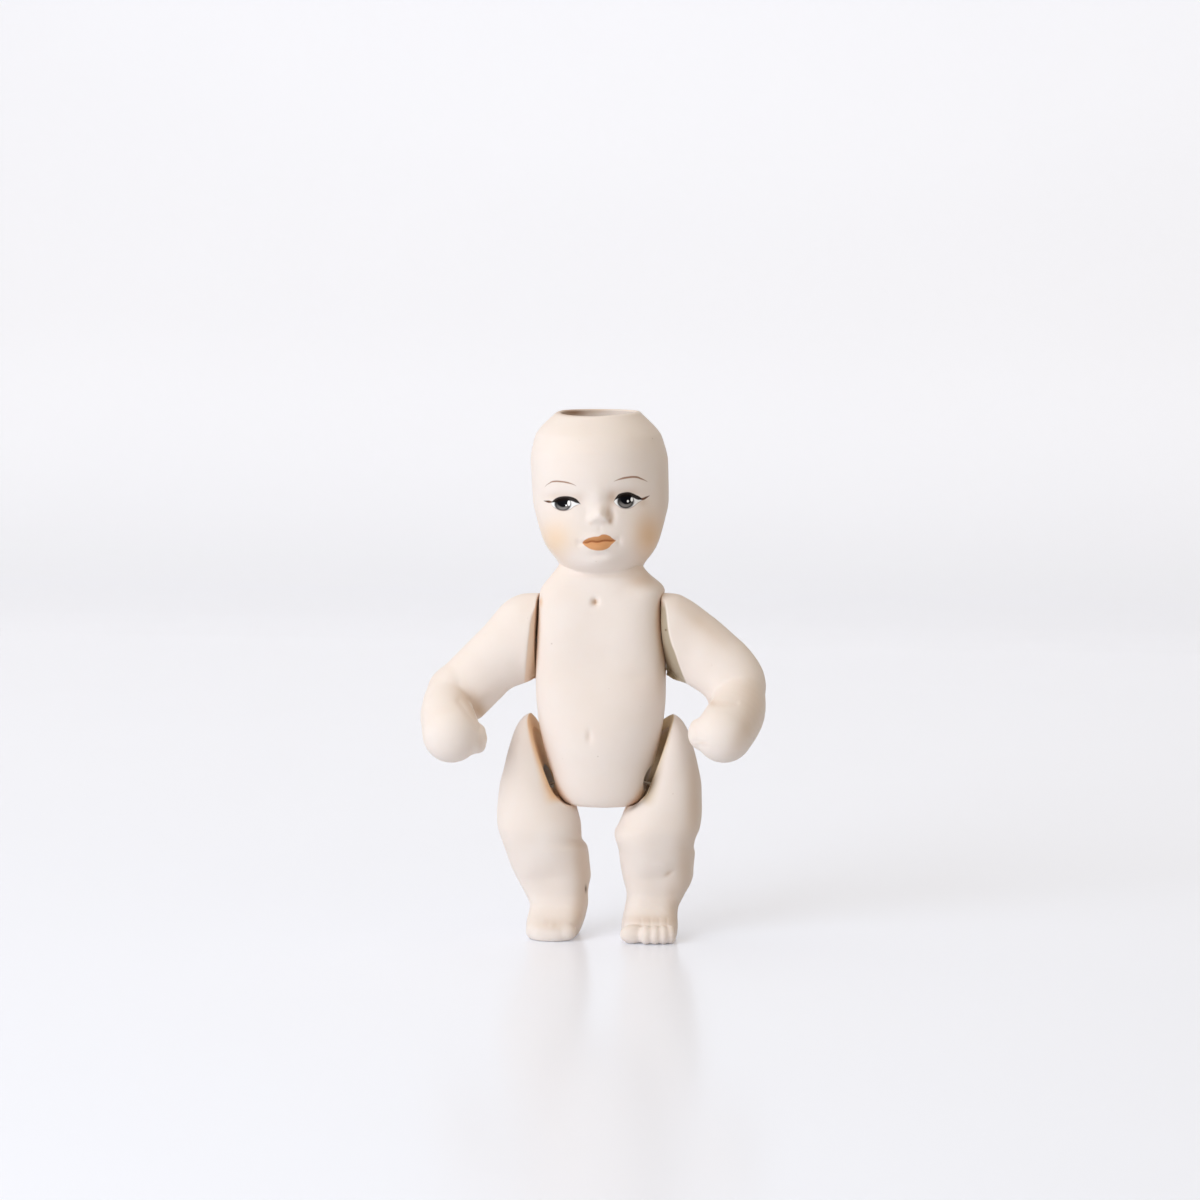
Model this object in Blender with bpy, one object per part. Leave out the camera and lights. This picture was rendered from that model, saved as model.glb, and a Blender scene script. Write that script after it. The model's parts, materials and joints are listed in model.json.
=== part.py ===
"""A small strung all-bisque baby doll, modelled standing on its own feet.

Head and torso are one hollow casting that is open at the crown. Two bent arms and two bent legs are
held to it by elastic loops inside the torso. Each limb has a wire bar across its socket, and a wire
hook from that bar through the torso's stringing hole to the elastic.

The torso faces -Y, the doll's own left side is +X, and the floor is at Z = 0.
"""

import math

import bmesh
import bpy
from mathutils import Matrix, Vector

# Head and torso casting: heights
HIP_HEIGHT = 0.0315
HIP_ABOVE_BASE = 0.0054
TORSO_HEIGHT = 0.0466
SHOULDER_BELOW_NECK = 0.0130
HEAD_HEIGHT = 0.0305
BASE_HEIGHT = HIP_HEIGHT - HIP_ABOVE_BASE
NECK_HEIGHT = BASE_HEIGHT + TORSO_HEIGHT
SHOULDER_HEIGHT = NECK_HEIGHT - SHOULDER_BELOW_NECK

# The body's middle stands this far behind the middle of the whole doll, whose hands reach forward
BODY_BEHIND = 0.00332

# Head and torso casting: widths and depths
TORSO_WIDTH = 0.0254
TORSO_FRONT = 0.0085
TORSO_BACK = 0.0083
HEAD_WIDTH = 0.0267
HEAD_FRONT = 0.0146
HEAD_BACK = 0.0138
HEAD_TURN = math.radians(8)
WALL = 0.0018
CROWN_RIM_WIDTH = 0.0010
CAST_SEGMENTS = 36
CAST_RING_STEP = 0.0018

# Face, in relief on the head
FACE_HALF_WIDTH = 0.0062
FACE_HEIGHT = 0.0076
FACE_ROLL = math.radians(4)
NOSE_DEPTH = 0.0017
EYE_SOCKET_DEPTH = 0.0009
CHEEK_DEPTH = 0.0008
LIP_DEPTH = 0.0006
CHIN_DEPTH = 0.0006

# Seats of the limbs on the torso
CLEARANCE = 0.0003
SHOULDER_TILT = math.radians(-2.5)
HIP_TILT = math.radians(20)
HIP_TURN_RADIUS = 0.0075
LEFT_LEG_TURN = math.radians(14)
RIGHT_LEG_TURN = math.radians(2)

# Arms
ARM_SEAT_HEIGHT = 0.0165
ARM_SEAT_DEPTH = 0.0134
UPPER_ARM_REACH = 0.0214
FOREARM_LENGTH = 0.0124
FIST_RADIUS = 0.0060
FINGER_RADIUS = 0.0013
FINGER_PITCH = 0.00275
THUMB_RADIUS = 0.0019
ARM_SEGMENTS = 20
FOREARM_SEGMENTS = 18

# Legs
LEG_WIDTH = 0.0158
LEG_FRONT = 0.0086
LEG_BACK = 0.0072
THIGH_ABOVE_HIP = 0.0123
SEAT_BELOW_HIP = 0.0053
SEAT_BREAK_RISE = 0.0045
SEAT_BREAK_RUN = 0.0033
TOE_RADIUS = 0.0012
LEG_SEGMENTS = 24
LEG_RING_STEP = 0.0017

# Stringing
WIRE_RADIUS = 0.00035
BAR_RADIUS = 0.0004
BAR_END = 0.0010
SOCKET_RADIUS = 0.0024
SOCKET_DEPTH = 0.0046
BAR_DEPTH = 0.0024
SHOULDER_HOLE_RADIUS = 0.0024
HIP_HOLE_RADIUS = 0.0029
HOOK_SPREAD = 0.0017
HOOK_EYE_RADIUS = 0.0015
HOOK_INSIDE = 0.0026
ELASTIC_RADIUS = 0.0005
ELASTIC_TURN_RADIUS = 0.0021
HOLE_SEGMENTS = 16
WIRE_SEGMENTS = 8
HOOK_ARC_STEPS = 8
HOOK_SWEEP = math.radians(210)
HOOK_LEAN = math.radians(35)
ELASTIC_ARC_STEPS = 8
QUARTER_TURN = math.pi / 2

# Cutters run this far past what they cut
OVERRUN = 0.0010

# Edges that bend more than this are shaded sharp
SHARP_EDGE = math.radians(40)

FRONT_BIAS_SHARE = 0.45
ROUND_SHARE = 2.0

# Shares of the casting's sizes, from the flat base (0) to the neck (1); rings are closer together
# below the first one here
BASE_CURVE_SHARE = 0.07
TORSO_WIDTH_SHARES = [
    (0.000, 0.490), (0.011, 0.560), (0.026, 0.614), (0.047, 0.665), (0.092, 0.737),
    (0.155, 0.795), (0.260, 0.898), (0.365, 0.969), (0.470, 1.000), (0.577, 0.996),
    (0.700, 0.976), (0.783, 0.953), (0.867, 0.937), (0.899, 0.929), (0.921, 0.890),
    (0.942, 0.819), (0.964, 0.740), (0.985, 0.677), (1.000, 0.646),
]
TORSO_FRONT_SHARES = [
    (0.000, 0.52), (0.011, 0.60), (0.047, 0.72), (0.092, 0.80), (0.155, 0.87),
    (0.260, 0.97), (0.365, 1.00), (0.470, 0.98), (0.577, 0.93), (0.700, 0.92),
    (0.783, 0.90), (0.867, 0.86), (0.921, 0.81), (0.964, 0.78), (1.000, 0.78),
]
TORSO_BACK_SHARES = [
    (0.000, 0.54), (0.011, 0.62), (0.047, 0.75), (0.092, 0.84), (0.155, 0.93),
    (0.260, 1.00), (0.365, 0.94), (0.470, 0.86), (0.577, 0.87), (0.700, 0.95),
    (0.783, 0.97), (0.867, 0.93), (0.921, 0.87), (0.964, 0.82), (1.000, 0.80),
]
TORSO_SQUARE_SHARES = [(0.000, 2.00), (0.260, 2.05), (0.470, 2.20), (0.867, 2.35), (1.000, 2.00)]

# Shares of the head's sizes, from the neck (0) to the crown rim (1)
HEAD_WIDTH_SHARES = [
    (0.000, 0.614), (0.026, 0.637), (0.079, 0.715), (0.128, 0.787), (0.180, 0.839),
    (0.233, 0.878), (0.282, 0.914), (0.334, 0.946), (0.384, 0.974), (0.436, 0.989),
    (0.534, 0.995), (0.692, 1.000), (0.744, 0.983), (0.793, 0.955), (0.846, 0.918),
    (0.895, 0.842), (0.948, 0.725), (0.980, 0.650), (1.000, 0.610),
]
HEAD_FRONT_SHARES = [
    (0.000, 0.455), (0.016, 0.600), (0.036, 0.730), (0.079, 0.835), (0.128, 0.862),
    (0.180, 0.880), (0.233, 0.895), (0.334, 0.920), (0.436, 0.925), (0.534, 0.965),
    (0.633, 1.000), (0.744, 0.982), (0.846, 0.880), (0.895, 0.785), (0.948, 0.665),
    (0.980, 0.595), (1.000, 0.560),
]
HEAD_BACK_SHARES = [
    (0.000, 0.480), (0.043, 0.540), (0.128, 0.690), (0.233, 0.840), (0.334, 0.940),
    (0.436, 0.985), (0.567, 1.000), (0.744, 0.930), (0.846, 0.835), (0.895, 0.765),
    (0.948, 0.665), (0.980, 0.610), (1.000, 0.575),
]
HEAD_TURN_SHARES = [(0.000, 0.0), (0.180, 1.0), (1.000, 1.0)]

# Where the face sits on the head, as a share of the head's height
EYE_LINE_SHARE = 0.425
# Centre across and up from the eye line, and spread, in shares of the face's half width and height
NOSE_SHARES = (0.00, -0.42, 0.24, 0.30)
BRIDGE_SHARES = (0.00, -0.05, 0.20, 0.50)
EYE_SHARES = (1.00, 0.02, 0.52, 0.30)
CHEEK_SHARES = (1.05, -0.85, 0.75, 0.60)
LIP_SHARES = (0.00, -1.02, 0.46, 0.16)
CHIN_SHARES = (0.00, -1.55, 0.60, 0.28)
BRIDGE_DEPTH_SHARE = 0.35

# Upper arm, from the flat seat to the elbow: outer edge out and up, inner edge out and up,
# forward, depth. Outs and forwards are shares of its reach, ups and depths of the seat's halves.
UPPER_ARM_SHARES = [
    (0.000, 1.00, 0.000, -1.00, 0.000, 1.00), (0.100, 0.98, 0.050, -1.06, 0.000, 1.00),
    (0.220, 0.87, 0.110, -1.13, 0.005, 0.98), (0.370, 0.52, 0.205, -1.25, 0.020, 0.92),
    (0.565, -0.02, 0.310, -1.48, 0.050, 0.86), (0.750, -0.50, 0.400, -1.75, 0.090, 0.82),
    (0.910, -0.90, 0.475, -2.01, 0.140, 0.80), (1.000, -1.37, 0.550, -2.22, 0.170, 0.76),
    (1.000, -1.85, 0.660, -2.42, 0.190, 0.62), (0.960, -2.20, 0.780, -2.50, 0.200, 0.30),
]
# Elbow's place out, forward and up in the same shares, and the forearm's direction from it
ELBOW_SHARES = (0.74, 0.16, -1.73)
FOREARM_SHARES = (-0.08, 0.93, -0.38)
# Forearm and fist: station along the forearm's length, and size in shares of the fist's radius
FOREARM_SIZE_SHARES = [
    (-0.38, 0.25), (-0.31, 0.55), (-0.16, 0.80), (0.10, 0.92), (0.35, 0.87), (0.60, 0.77),
    (0.75, 0.85), (0.90, 0.97), (1.05, 1.00), (1.20, 0.92), (1.32, 0.70), (1.40, 0.38),
]
FINGER_SHARES = [-1.5, -0.5, 0.5, 1.5]
# From the fist's middle, in shares of its radius: the fingers out and forward, the thumb also up
FINGER_WAY_SHARES = (-0.66, 0.62)
FINGER_DROOP = math.radians(12)
THUMB_PLACE_SHARES = (-0.40, 0.30, 0.72)

# Leg outline from the sole (0) to the thigh's top (1), in shares of its width, front and back
LEG_OUTER_SHARES = [
    (0.000, 0.270), (0.028, 0.285), (0.071, 0.295), (0.130, 0.290), (0.183, 0.340),
    (0.254, 0.420), (0.315, 0.478), (0.370, 0.510), (0.441, 0.545), (0.502, 0.592),
    (0.575, 0.617), (0.671, 0.617), (0.783, 0.567), (0.872, 0.503), (0.932, 0.446),
    (0.973, 0.376), (0.991, 0.320), (1.000, 0.270),
]
LEG_INNER_SHARES = [
    (0.000, -0.357), (0.028, -0.376), (0.071, -0.389), (0.130, -0.389), (0.183, -0.383),
    (0.254, -0.408), (0.315, -0.427), (0.370, -0.440), (0.441, -0.434), (0.502, -0.402),
    (0.575, -0.340), (0.671, -0.218), (0.783, -0.120), (0.872, -0.020), (0.932, 0.066),
    (0.973, 0.130), (0.991, 0.180), (1.000, 0.225),
]
LEG_FRONT_SHARES = [
    (0.000, 0.98), (0.028, 1.04), (0.055, 1.02), (0.083, 0.88), (0.111, 0.66), (0.142, 0.52),
    (0.183, 0.48), (0.254, 0.58), (0.315, 0.70), (0.370, 0.81), (0.441, 0.94), (0.502, 1.00),
    (0.575, 0.98), (0.671, 0.91), (0.783, 0.81), (0.872, 0.70), (0.932, 0.53), (0.973, 0.35),
    (0.991, 0.20), (1.000, 0.05),
]
LEG_BACK_SHARES = [
    (0.000, 0.70), (0.028, 0.76), (0.055, 0.78), (0.111, 0.76), (0.142, 0.72), (0.183, 0.74),
    (0.254, 0.89), (0.315, 0.98), (0.370, 0.95), (0.441, 0.80), (0.502, 0.73), (0.575, 0.80),
    (0.671, 0.94), (0.783, 1.00), (0.872, 0.92), (0.932, 0.75), (0.973, 0.53), (0.991, 0.36),
    (1.000, 0.20),
]
LEG_SQUARE_SHARES = [(0.000, 2.60), (0.111, 2.30), (0.254, 2.00), (0.575, 2.10), (1.000, 2.00)]
# Toes from the big one out: place across the foot's width, size, and place behind the front
TOE_SHARES = [-0.40, -0.20, 0.00, 0.20, 0.40]
TOE_SIZE_SHARES = [1.12, 0.96, 0.92, 0.88, 0.82]
TOE_BACK_SHARES = [0.02, 0.00, 0.03, 0.09, 0.18]
TOE_HEIGHT_SHARE = 1.05
TOE_FRONT_SHARE = 0.97

BISQUE = (0.86, 0.74, 0.66)
BISQUE_ROUGHNESS = 0.62
STEEL = (0.62, 0.61, 0.58)
STEEL_ROUGHNESS = 0.35
ELASTIC = (0.90, 0.88, 0.84)
ELASTIC_ROUGHNESS = 0.80


def follow(shares, at):
    """The value at a station on a smooth curve through (station, value) pairs that never overshoots."""
    stations = [s for s, _ in shares]
    values = [v for _, v in shares]
    if at <= stations[0]:
        return values[0]
    if at >= stations[-1]:
        return values[-1]
    steps = [b - a for a, b in zip(stations, stations[1:])]
    slopes = [(b - a) / h for a, b, h in zip(values, values[1:], steps)]
    tangents = [slopes[0]]
    for before, after in zip(slopes, slopes[1:]):
        rising = before * after > 0
        tangents.append(2 * before * after / (before + after) if rising else 0)
    tangents.append(slopes[-1])
    i = max(k for k in range(len(steps)) if stations[k] <= at)
    h = steps[i]
    u = (at - stations[i]) / h
    start = values[i] * (1 + 2 * u) * (1 - u) ** 2 + tangents[i] * h * u * (1 - u) ** 2
    end = values[i + 1] * u * u * (3 - 2 * u) + tangents[i + 1] * h * u * u * (u - 1)
    return start + end


def power_of(value, power):
    """A signed power, which squares off the sine and cosine of a ring."""
    return math.copysign(abs(value) ** power, value)


def ring_angles(count, front_bias):
    """Angles round a ring from the front (-Y) through +X, closer together at the front."""
    turns = [math.tau * i / count for i in range(count)]
    return [t - front_bias * math.sin(t) for t in turns]


def oval(angles, out_low, out_high, front, back, square):
    """Points of one oval ring, from its reach to -X and +X, to the front and to the back."""
    middle = (out_low + out_high) / 2
    half = (out_high - out_low) / 2
    power = ROUND_SHARE / square
    points = []
    for a in angles:
        depth = front if math.cos(a) > 0 else back
        x = middle + half * power_of(math.sin(a), power)
        points.append((x, -depth * power_of(math.cos(a), power)))
    return points


def torso_half_width(height):
    """Half width of the torso at a height above the floor."""
    share = (height - BASE_HEIGHT) / TORSO_HEIGHT
    return TORSO_WIDTH / 2 * follow(TORSO_WIDTH_SHARES, share)


class Seat:
    """Where a limb meets the torso: the flat seat's centre, the axis out of it, and the pivot."""

    def __init__(self, height, tilt, turn_radius):
        self.tilt = tilt
        self.axis = Vector((math.cos(tilt), 0, -math.sin(tilt)))
        self.up = Vector((math.sin(tilt), 0, math.cos(tilt)))
        out = torso_half_width(height) + CLEARANCE / math.cos(tilt)
        self.centre = Vector((out, 0, height))
        self.depth = turn_radius / math.cos(tilt)
        self.pivot = self.centre - self.axis * self.depth

    def at(self, out, up):
        """A point in the seat's own plane of symmetry, measured from the pivot."""
        return self.axis * (self.depth + out) + self.up * up


SHOULDER = Seat(SHOULDER_HEIGHT, SHOULDER_TILT, 0)
HIP = Seat(HIP_HEIGHT, HIP_TILT, HIP_TURN_RADIUS)


def material(name, colour, roughness, metallic=0):
    """A plain Principled material."""
    made = bpy.data.materials.new(name)
    made.use_nodes = True
    shader = made.node_tree.nodes["Principled BSDF"]
    shader.inputs["Base Color"].default_value = (*colour, 1)
    shader.inputs["Roughness"].default_value = roughness
    shader.inputs["Metallic"].default_value = metallic
    made.diffuse_color = (*colour, 1)
    return made


def add_object(name, data, surface=None, place=None):
    """Links a new object, gives it its material, and places it on the doll's standing place."""
    made = bpy.data.objects.new(name, data)
    bpy.context.scene.collection.objects.link(made)
    if surface:
        made.data.materials.append(surface)
    made.matrix_world = Matrix.Translation((0, BODY_BEHIND, 0)) @ (place or Matrix())
    return made


def mesh_from(name, bm):
    """A smooth-shaded mesh with sharp edges kept, from a bmesh."""
    bmesh.ops.recalc_face_normals(bm, faces=bm.faces)
    mesh = bpy.data.meshes.new(name)
    bm.to_mesh(mesh)
    bm.free()
    mesh.shade_smooth()
    mesh.set_sharp_from_angle(angle=SHARP_EDGE)
    return mesh


def skin(name, rings, closed=False):
    """A closed mesh over rings of equal point counts, with flat ends or joined end to end."""
    bm = bmesh.new()
    loops = [[bm.verts.new(p) for p in ring] for ring in rings]
    for low, high in zip(loops, loops[1:] + loops[:closed]):
        for i in range(len(low)):
            j = (i + 1) % len(low)
            bm.faces.new((low[i], low[j], high[j], high[i]))
    if not closed:
        bm.faces.new(list(reversed(loops[0])))
        bm.faces.new(loops[-1])
    return mesh_from(name, bm)


def mirrored(points, side):
    """Points for the doll's left side (1) or right side (-1)."""
    return [Vector((side * p[0], p[1], p[2])) for p in points]


def cutter(name, mesh, place=None):
    """A hidden helper object for a Boolean."""
    made = add_object(name, mesh, place=place)
    made.hide_render = True
    made.display_type = "WIRE"
    return made


def combine(target, helper, operation):
    """Adds a Boolean modifier that stays on the object."""
    step = target.modifiers.new(helper.name, "BOOLEAN")
    step.operation = operation
    step.object = helper
    step.solver = "EXACT"
    step.use_self = operation == "UNION"


def rod_mesh(name, radius, start, end):
    """A closed round rod between two points."""
    along = end - start
    bm = bmesh.new()
    turn = along.to_track_quat("Z", "Y").to_matrix().to_4x4()
    place = Matrix.Translation((start + end) / 2) @ turn
    bmesh.ops.create_cone(
        bm, cap_ends=True, segments=HOLE_SEGMENTS, radius1=radius, radius2=radius,
        depth=along.length, matrix=place,
    )
    return mesh_from(name, bm)


def balls_mesh(name, balls):
    """Separate small balls in one mesh, from (centre, radius) pairs."""
    bm = bmesh.new()
    for centre, radius in balls:
        bmesh.ops.create_icosphere(
            bm, subdivisions=2, radius=radius, matrix=Matrix.Translation(centre)
        )
    return mesh_from(name, bm)


def wire_mesh(name, points, normal, radius, closed):
    """A round wire or cord along points that lie in one plane, open with flat ends or a loop."""
    count = len(points)
    rings = []
    for i, p in enumerate(points):
        before = points[i - 1] if closed or i > 0 else p
        after = points[(i + 1) % count] if closed or i < count - 1 else p
        across = (after - before).cross(normal).normalized()
        angles = ring_angles(WIRE_SEGMENTS, 0)
        rings.append(
            [p + (across * math.cos(a) + normal * math.sin(a)) * radius for a in angles]
        )
    return skin(name, rings, closed)


def relief(across, up):
    """How far the face stands forward of the plain head, at a place on it."""
    u = across / FACE_HALF_WIDTH
    v = up / FACE_HEIGHT

    def bump(shares, mirror):
        x, y, wide, high = shares
        sides = (x, -x) if mirror else (x,)
        return sum(math.exp(-(((u - s) / wide) ** 2) - ((v - y) / high) ** 2) for s in sides)

    return (
        NOSE_DEPTH * bump(NOSE_SHARES, False)
        + NOSE_DEPTH * BRIDGE_DEPTH_SHARE * bump(BRIDGE_SHARES, False)
        - EYE_SOCKET_DEPTH * bump(EYE_SHARES, True)
        + CHEEK_DEPTH * bump(CHEEK_SHARES, True)
        + LIP_DEPTH * bump(LIP_SHARES, False)
        + CHIN_DEPTH * bump(CHIN_SHARES, False)
    )


def torso_ring(share, inset):
    """One ring of the torso, drawn in by a wall for the inside."""
    half = TORSO_WIDTH / 2 * follow(TORSO_WIDTH_SHARES, share) - inset
    front = TORSO_FRONT * follow(TORSO_FRONT_SHARES, share) - inset
    back = TORSO_BACK * follow(TORSO_BACK_SHARES, share) - inset
    square = follow(TORSO_SQUARE_SHARES, share)
    height = BASE_HEIGHT + TORSO_HEIGHT * share
    angles = ring_angles(CAST_SEGMENTS, FRONT_BIAS_SHARE)
    return [Vector((x, y, height)) for x, y in oval(angles, -half, half, front, back, square)]


def head_ring(share, inset):
    """One ring of the head, turned a little on the neck, with the face in relief on its outside."""
    half = HEAD_WIDTH / 2 * follow(HEAD_WIDTH_SHARES, share) - inset
    front = HEAD_FRONT * follow(HEAD_FRONT_SHARES, share) - inset
    back = HEAD_BACK * follow(HEAD_BACK_SHARES, share) - inset
    height = NECK_HEIGHT + HEAD_HEIGHT * share
    eye_line = HEAD_HEIGHT * EYE_LINE_SHARE
    turn = Matrix.Rotation(HEAD_TURN * follow(HEAD_TURN_SHARES, share), 3, "Z")
    angles = ring_angles(CAST_SEGMENTS, FRONT_BIAS_SHARE)
    points = []
    for x, y in oval(angles, -half, half, front, back, ROUND_SHARE):
        if inset == 0 and y < 0:
            up = HEAD_HEIGHT * share - eye_line
            across = x * math.cos(FACE_ROLL) + up * math.sin(FACE_ROLL)
            up = up * math.cos(FACE_ROLL) - x * math.sin(FACE_ROLL)
            y -= relief(across, up) * min(1, -y / front)
        points.append(turn @ Vector((x, y, height)))
    return points


def casting_rings():
    """Rings up the outside from the base to the crown rim, then down the inside."""
    torso_steps = round(TORSO_HEIGHT / CAST_RING_STEP)
    head_steps = round(HEAD_HEIGHT / CAST_RING_STEP)
    shares = [s for s, _ in TORSO_WIDTH_SHARES if s < BASE_CURVE_SHARE]
    steps = [i / torso_steps for i in range(torso_steps)]
    shares += [s for s in steps if s > BASE_CURVE_SHARE]
    outside = [torso_ring(s, 0) for s in shares]
    outside += [head_ring(i / head_steps, 0) for i in range(head_steps + 1)]
    rim = 1 - WALL / HEAD_HEIGHT
    inside = [head_ring(1, CROWN_RIM_WIDTH)]
    inner_steps = head_steps // 2
    inside += [head_ring(rim * (1 - i / inner_steps), WALL) for i in range(inner_steps)]
    floor = WALL / TORSO_HEIGHT
    inner_steps = torso_steps // 2
    inside += [
        torso_ring(1 - (1 - floor) * i / inner_steps, WALL) for i in range(inner_steps + 1)
    ]
    return outside + inside


def build_casting(surface):
    """The hollow head and torso, with a stringing hole at each shoulder and hip."""
    casting = add_object("head_torso", skin("head_torso", casting_rings()), surface)
    holes = (("shoulder", SHOULDER, SHOULDER_HOLE_RADIUS), ("hip", HIP, HIP_HOLE_RADIUS))
    for joint, seat, radius in holes:
        for side, side_name in ((1, "left"), (-1, "right")):
            start = seat.centre - seat.axis * (WALL + HOOK_INSIDE)
            end = seat.centre + seat.axis * OVERRUN
            ends = mirrored([start, end], side)
            name = f"{joint}_hole_{side_name}"
            combine(casting, cutter(name, rod_mesh(name, radius, *ends)), "DIFFERENCE")
    return casting


def socket_cutters(seat, side, place, name):
    """The limb's socket, and the pocket across it that holds the wire bar."""
    mouth, floor = mirrored([seat.at(-OVERRUN, 0), seat.at(SOCKET_DEPTH, 0)], side)
    socket = cutter(f"{name}_socket", rod_mesh(f"{name}_socket", SOCKET_RADIUS, mouth, floor), place)
    reach = Vector((0, SOCKET_RADIUS + BAR_END + CLEARANCE, 0))
    middle = mirrored([seat.at(BAR_DEPTH, 0)], side)[0]
    pocket_mesh = rod_mesh(f"{name}_pocket", BAR_RADIUS + CLEARANCE, middle - reach, middle + reach)
    return socket, cutter(f"{name}_pocket", pocket_mesh, place)


def add_stringing(seat, side, place, name, steel):
    """The wire bar across a limb's socket, and the hook from it into the torso."""
    middle = mirrored([seat.at(BAR_DEPTH, 0)], side)[0]
    reach = Vector((0, SOCKET_RADIUS + BAR_END, 0))
    bar_mesh = rod_mesh(f"{name}_bar", BAR_RADIUS, middle - reach, middle + reach)
    add_object(f"{name}_bar", bar_mesh, steel, place)
    outer = BAR_RADIUS + WIRE_RADIUS + CLEARANCE
    inner = HOOK_EYE_RADIUS
    aside = seat.up * math.cos(HOOK_LEAN) + Vector((0, 1, 0)) * math.sin(HOOK_LEAN)
    points = []
    for i in range(HOOK_ARC_STEPS + 1):
        a = HOOK_SWEEP * i / HOOK_ARC_STEPS + QUARTER_TURN - HOOK_SWEEP
        top = seat.at(BAR_DEPTH + outer * math.cos(a), 0)
        points.append(top - aside * HOOK_SPREAD * math.sin(a))
    for i in range(HOOK_ARC_STEPS + 1):
        a = HOOK_SWEEP * i / HOOK_ARC_STEPS + QUARTER_TURN
        end = seat.at(inner_end() + inner * math.cos(a), 0)
        points.append(end - aside * inner * math.sin(a))
    points, ways = mirrored(points, side), mirrored([seat.axis, aside], side)
    hook = wire_mesh(f"{name}_hook", points, ways[0].cross(ways[1]), WIRE_RADIUS, False)
    add_object(f"{name}_hook", hook, steel, place)


def inner_end():
    """Where the elastic lies in a hook, measured out from the seat."""
    return -(CLEARANCE + WALL + HOOK_INSIDE)


def add_elastic(name, seat, places, surface):
    """A loop of elastic from the right limb's hook to the left one's."""
    ends = []
    for side, place in zip((1, -1), places):
        ends.append(place @ mirrored([seat.at(inner_end(), 0)], side)[0])
    left, right = ends
    along = (left - right).normalized()
    across = along.cross(Vector((0, 0, 1))).normalized()
    turn = ELASTIC_TURN_RADIUS
    points = []
    for middle, start in ((left - along * turn, -QUARTER_TURN), (right + along * turn, QUARTER_TURN)):
        for i in range(ELASTIC_ARC_STEPS + 1):
            a = start + math.pi * i / ELASTIC_ARC_STEPS
            points.append(middle + (along * math.cos(a) - across * math.sin(a)) * turn)
    loop = wire_mesh(name, points, across.cross(along), ELASTIC_RADIUS, True)
    add_object(name, loop, surface)


def arm_place(out, forward, up):
    """A place on the arm from the seat's centre, from shares of the reach and the seat's height."""
    reach = UPPER_ARM_REACH
    return Vector((out * reach, -forward * reach, up * ARM_SEAT_HEIGHT / 2))


def upper_arm_rings():
    """Ovals from the flat seat to the elbow, each across from its inner to its outer edge."""
    rings = []
    for out, up, inner_out, inner_up, forward, depth in UPPER_ARM_SHARES:
        outer = arm_place(out, forward, up)
        inner = arm_place(inner_out, forward, inner_up)
        middle = (outer + inner) / 2
        half = (outer - inner) / 2
        deep = Vector((0, ARM_SEAT_DEPTH / 2 * depth, 0))
        angles = ring_angles(ARM_SEGMENTS, 0)
        rings.append([middle + half * math.cos(a) + deep * math.sin(a) for a in angles])
    lean = Matrix.Rotation(SHOULDER_TILT, 3, "Y")
    return [[lean @ p for p in ring] for ring in rings]


def forearm_point(share):
    """A point along the forearm's middle line, from the seat's centre."""
    along = Vector((FOREARM_SHARES[0], -FOREARM_SHARES[1], FOREARM_SHARES[2])).normalized()
    return arm_place(*ELBOW_SHARES) + along * FOREARM_LENGTH * share


def forearm_rings():
    """Rings square to the forearm, from behind the elbow to the front of the fist."""
    along = (forearm_point(1) - forearm_point(0)).normalized()
    across = along.cross(Vector((0, 0, 1))).normalized()
    up = across.cross(along)
    angles = ring_angles(FOREARM_SEGMENTS, 0)
    rings = []
    for share, size in FOREARM_SIZE_SHARES:
        reach = FIST_RADIUS * size
        middle = forearm_point(share)
        rings.append(
            [middle + (across * math.cos(a) + up * math.sin(a)) * reach for a in angles]
        )
    return rings


def fist_place(shares):
    """A place on the fist, out, forward and up from its middle."""
    out, forward, up = shares
    return forearm_point(1) + Vector((out, -forward, up)) * FIST_RADIUS


def build_arm(side, side_name, bisque, steel):
    """One arm with its fist, its bar and its hook."""
    name = f"arm_{side_name}"
    place = Matrix.Translation(Vector((side * SHOULDER.centre.x, 0, SHOULDER.centre.z)))
    rings = [mirrored(ring, side) for ring in upper_arm_rings()]
    arm = add_object(name, skin(name, rings), bisque, place)
    rings = [mirrored(ring, side) for ring in forearm_rings()]
    forearm = cutter(f"{name}_forearm", skin(f"{name}_forearm", rings), place)
    balls = []
    for share in FINGER_SHARES:
        turn = share * FINGER_PITCH / FIST_RADIUS - FINGER_DROOP
        out, forward = FINGER_WAY_SHARES
        centre = fist_place((out * math.cos(turn), forward * math.cos(turn), math.sin(turn)))
        balls.append((mirrored([centre], side)[0], FINGER_RADIUS))
    fingers = cutter(f"{name}_fingers", balls_mesh(f"{name}_fingers", balls), place)
    balls = [(mirrored([fist_place(THUMB_PLACE_SHARES)], side)[0], THUMB_RADIUS)]
    thumb = cutter(f"{name}_thumb", balls_mesh(f"{name}_thumb", balls), place)
    for helper in (forearm, fingers, thumb):
        combine(arm, helper, "UNION")
    for helper in socket_cutters(SHOULDER, side, place, name):
        combine(arm, helper, "DIFFERENCE")
    add_stringing(SHOULDER, side, place, name, steel)
    return place


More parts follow.
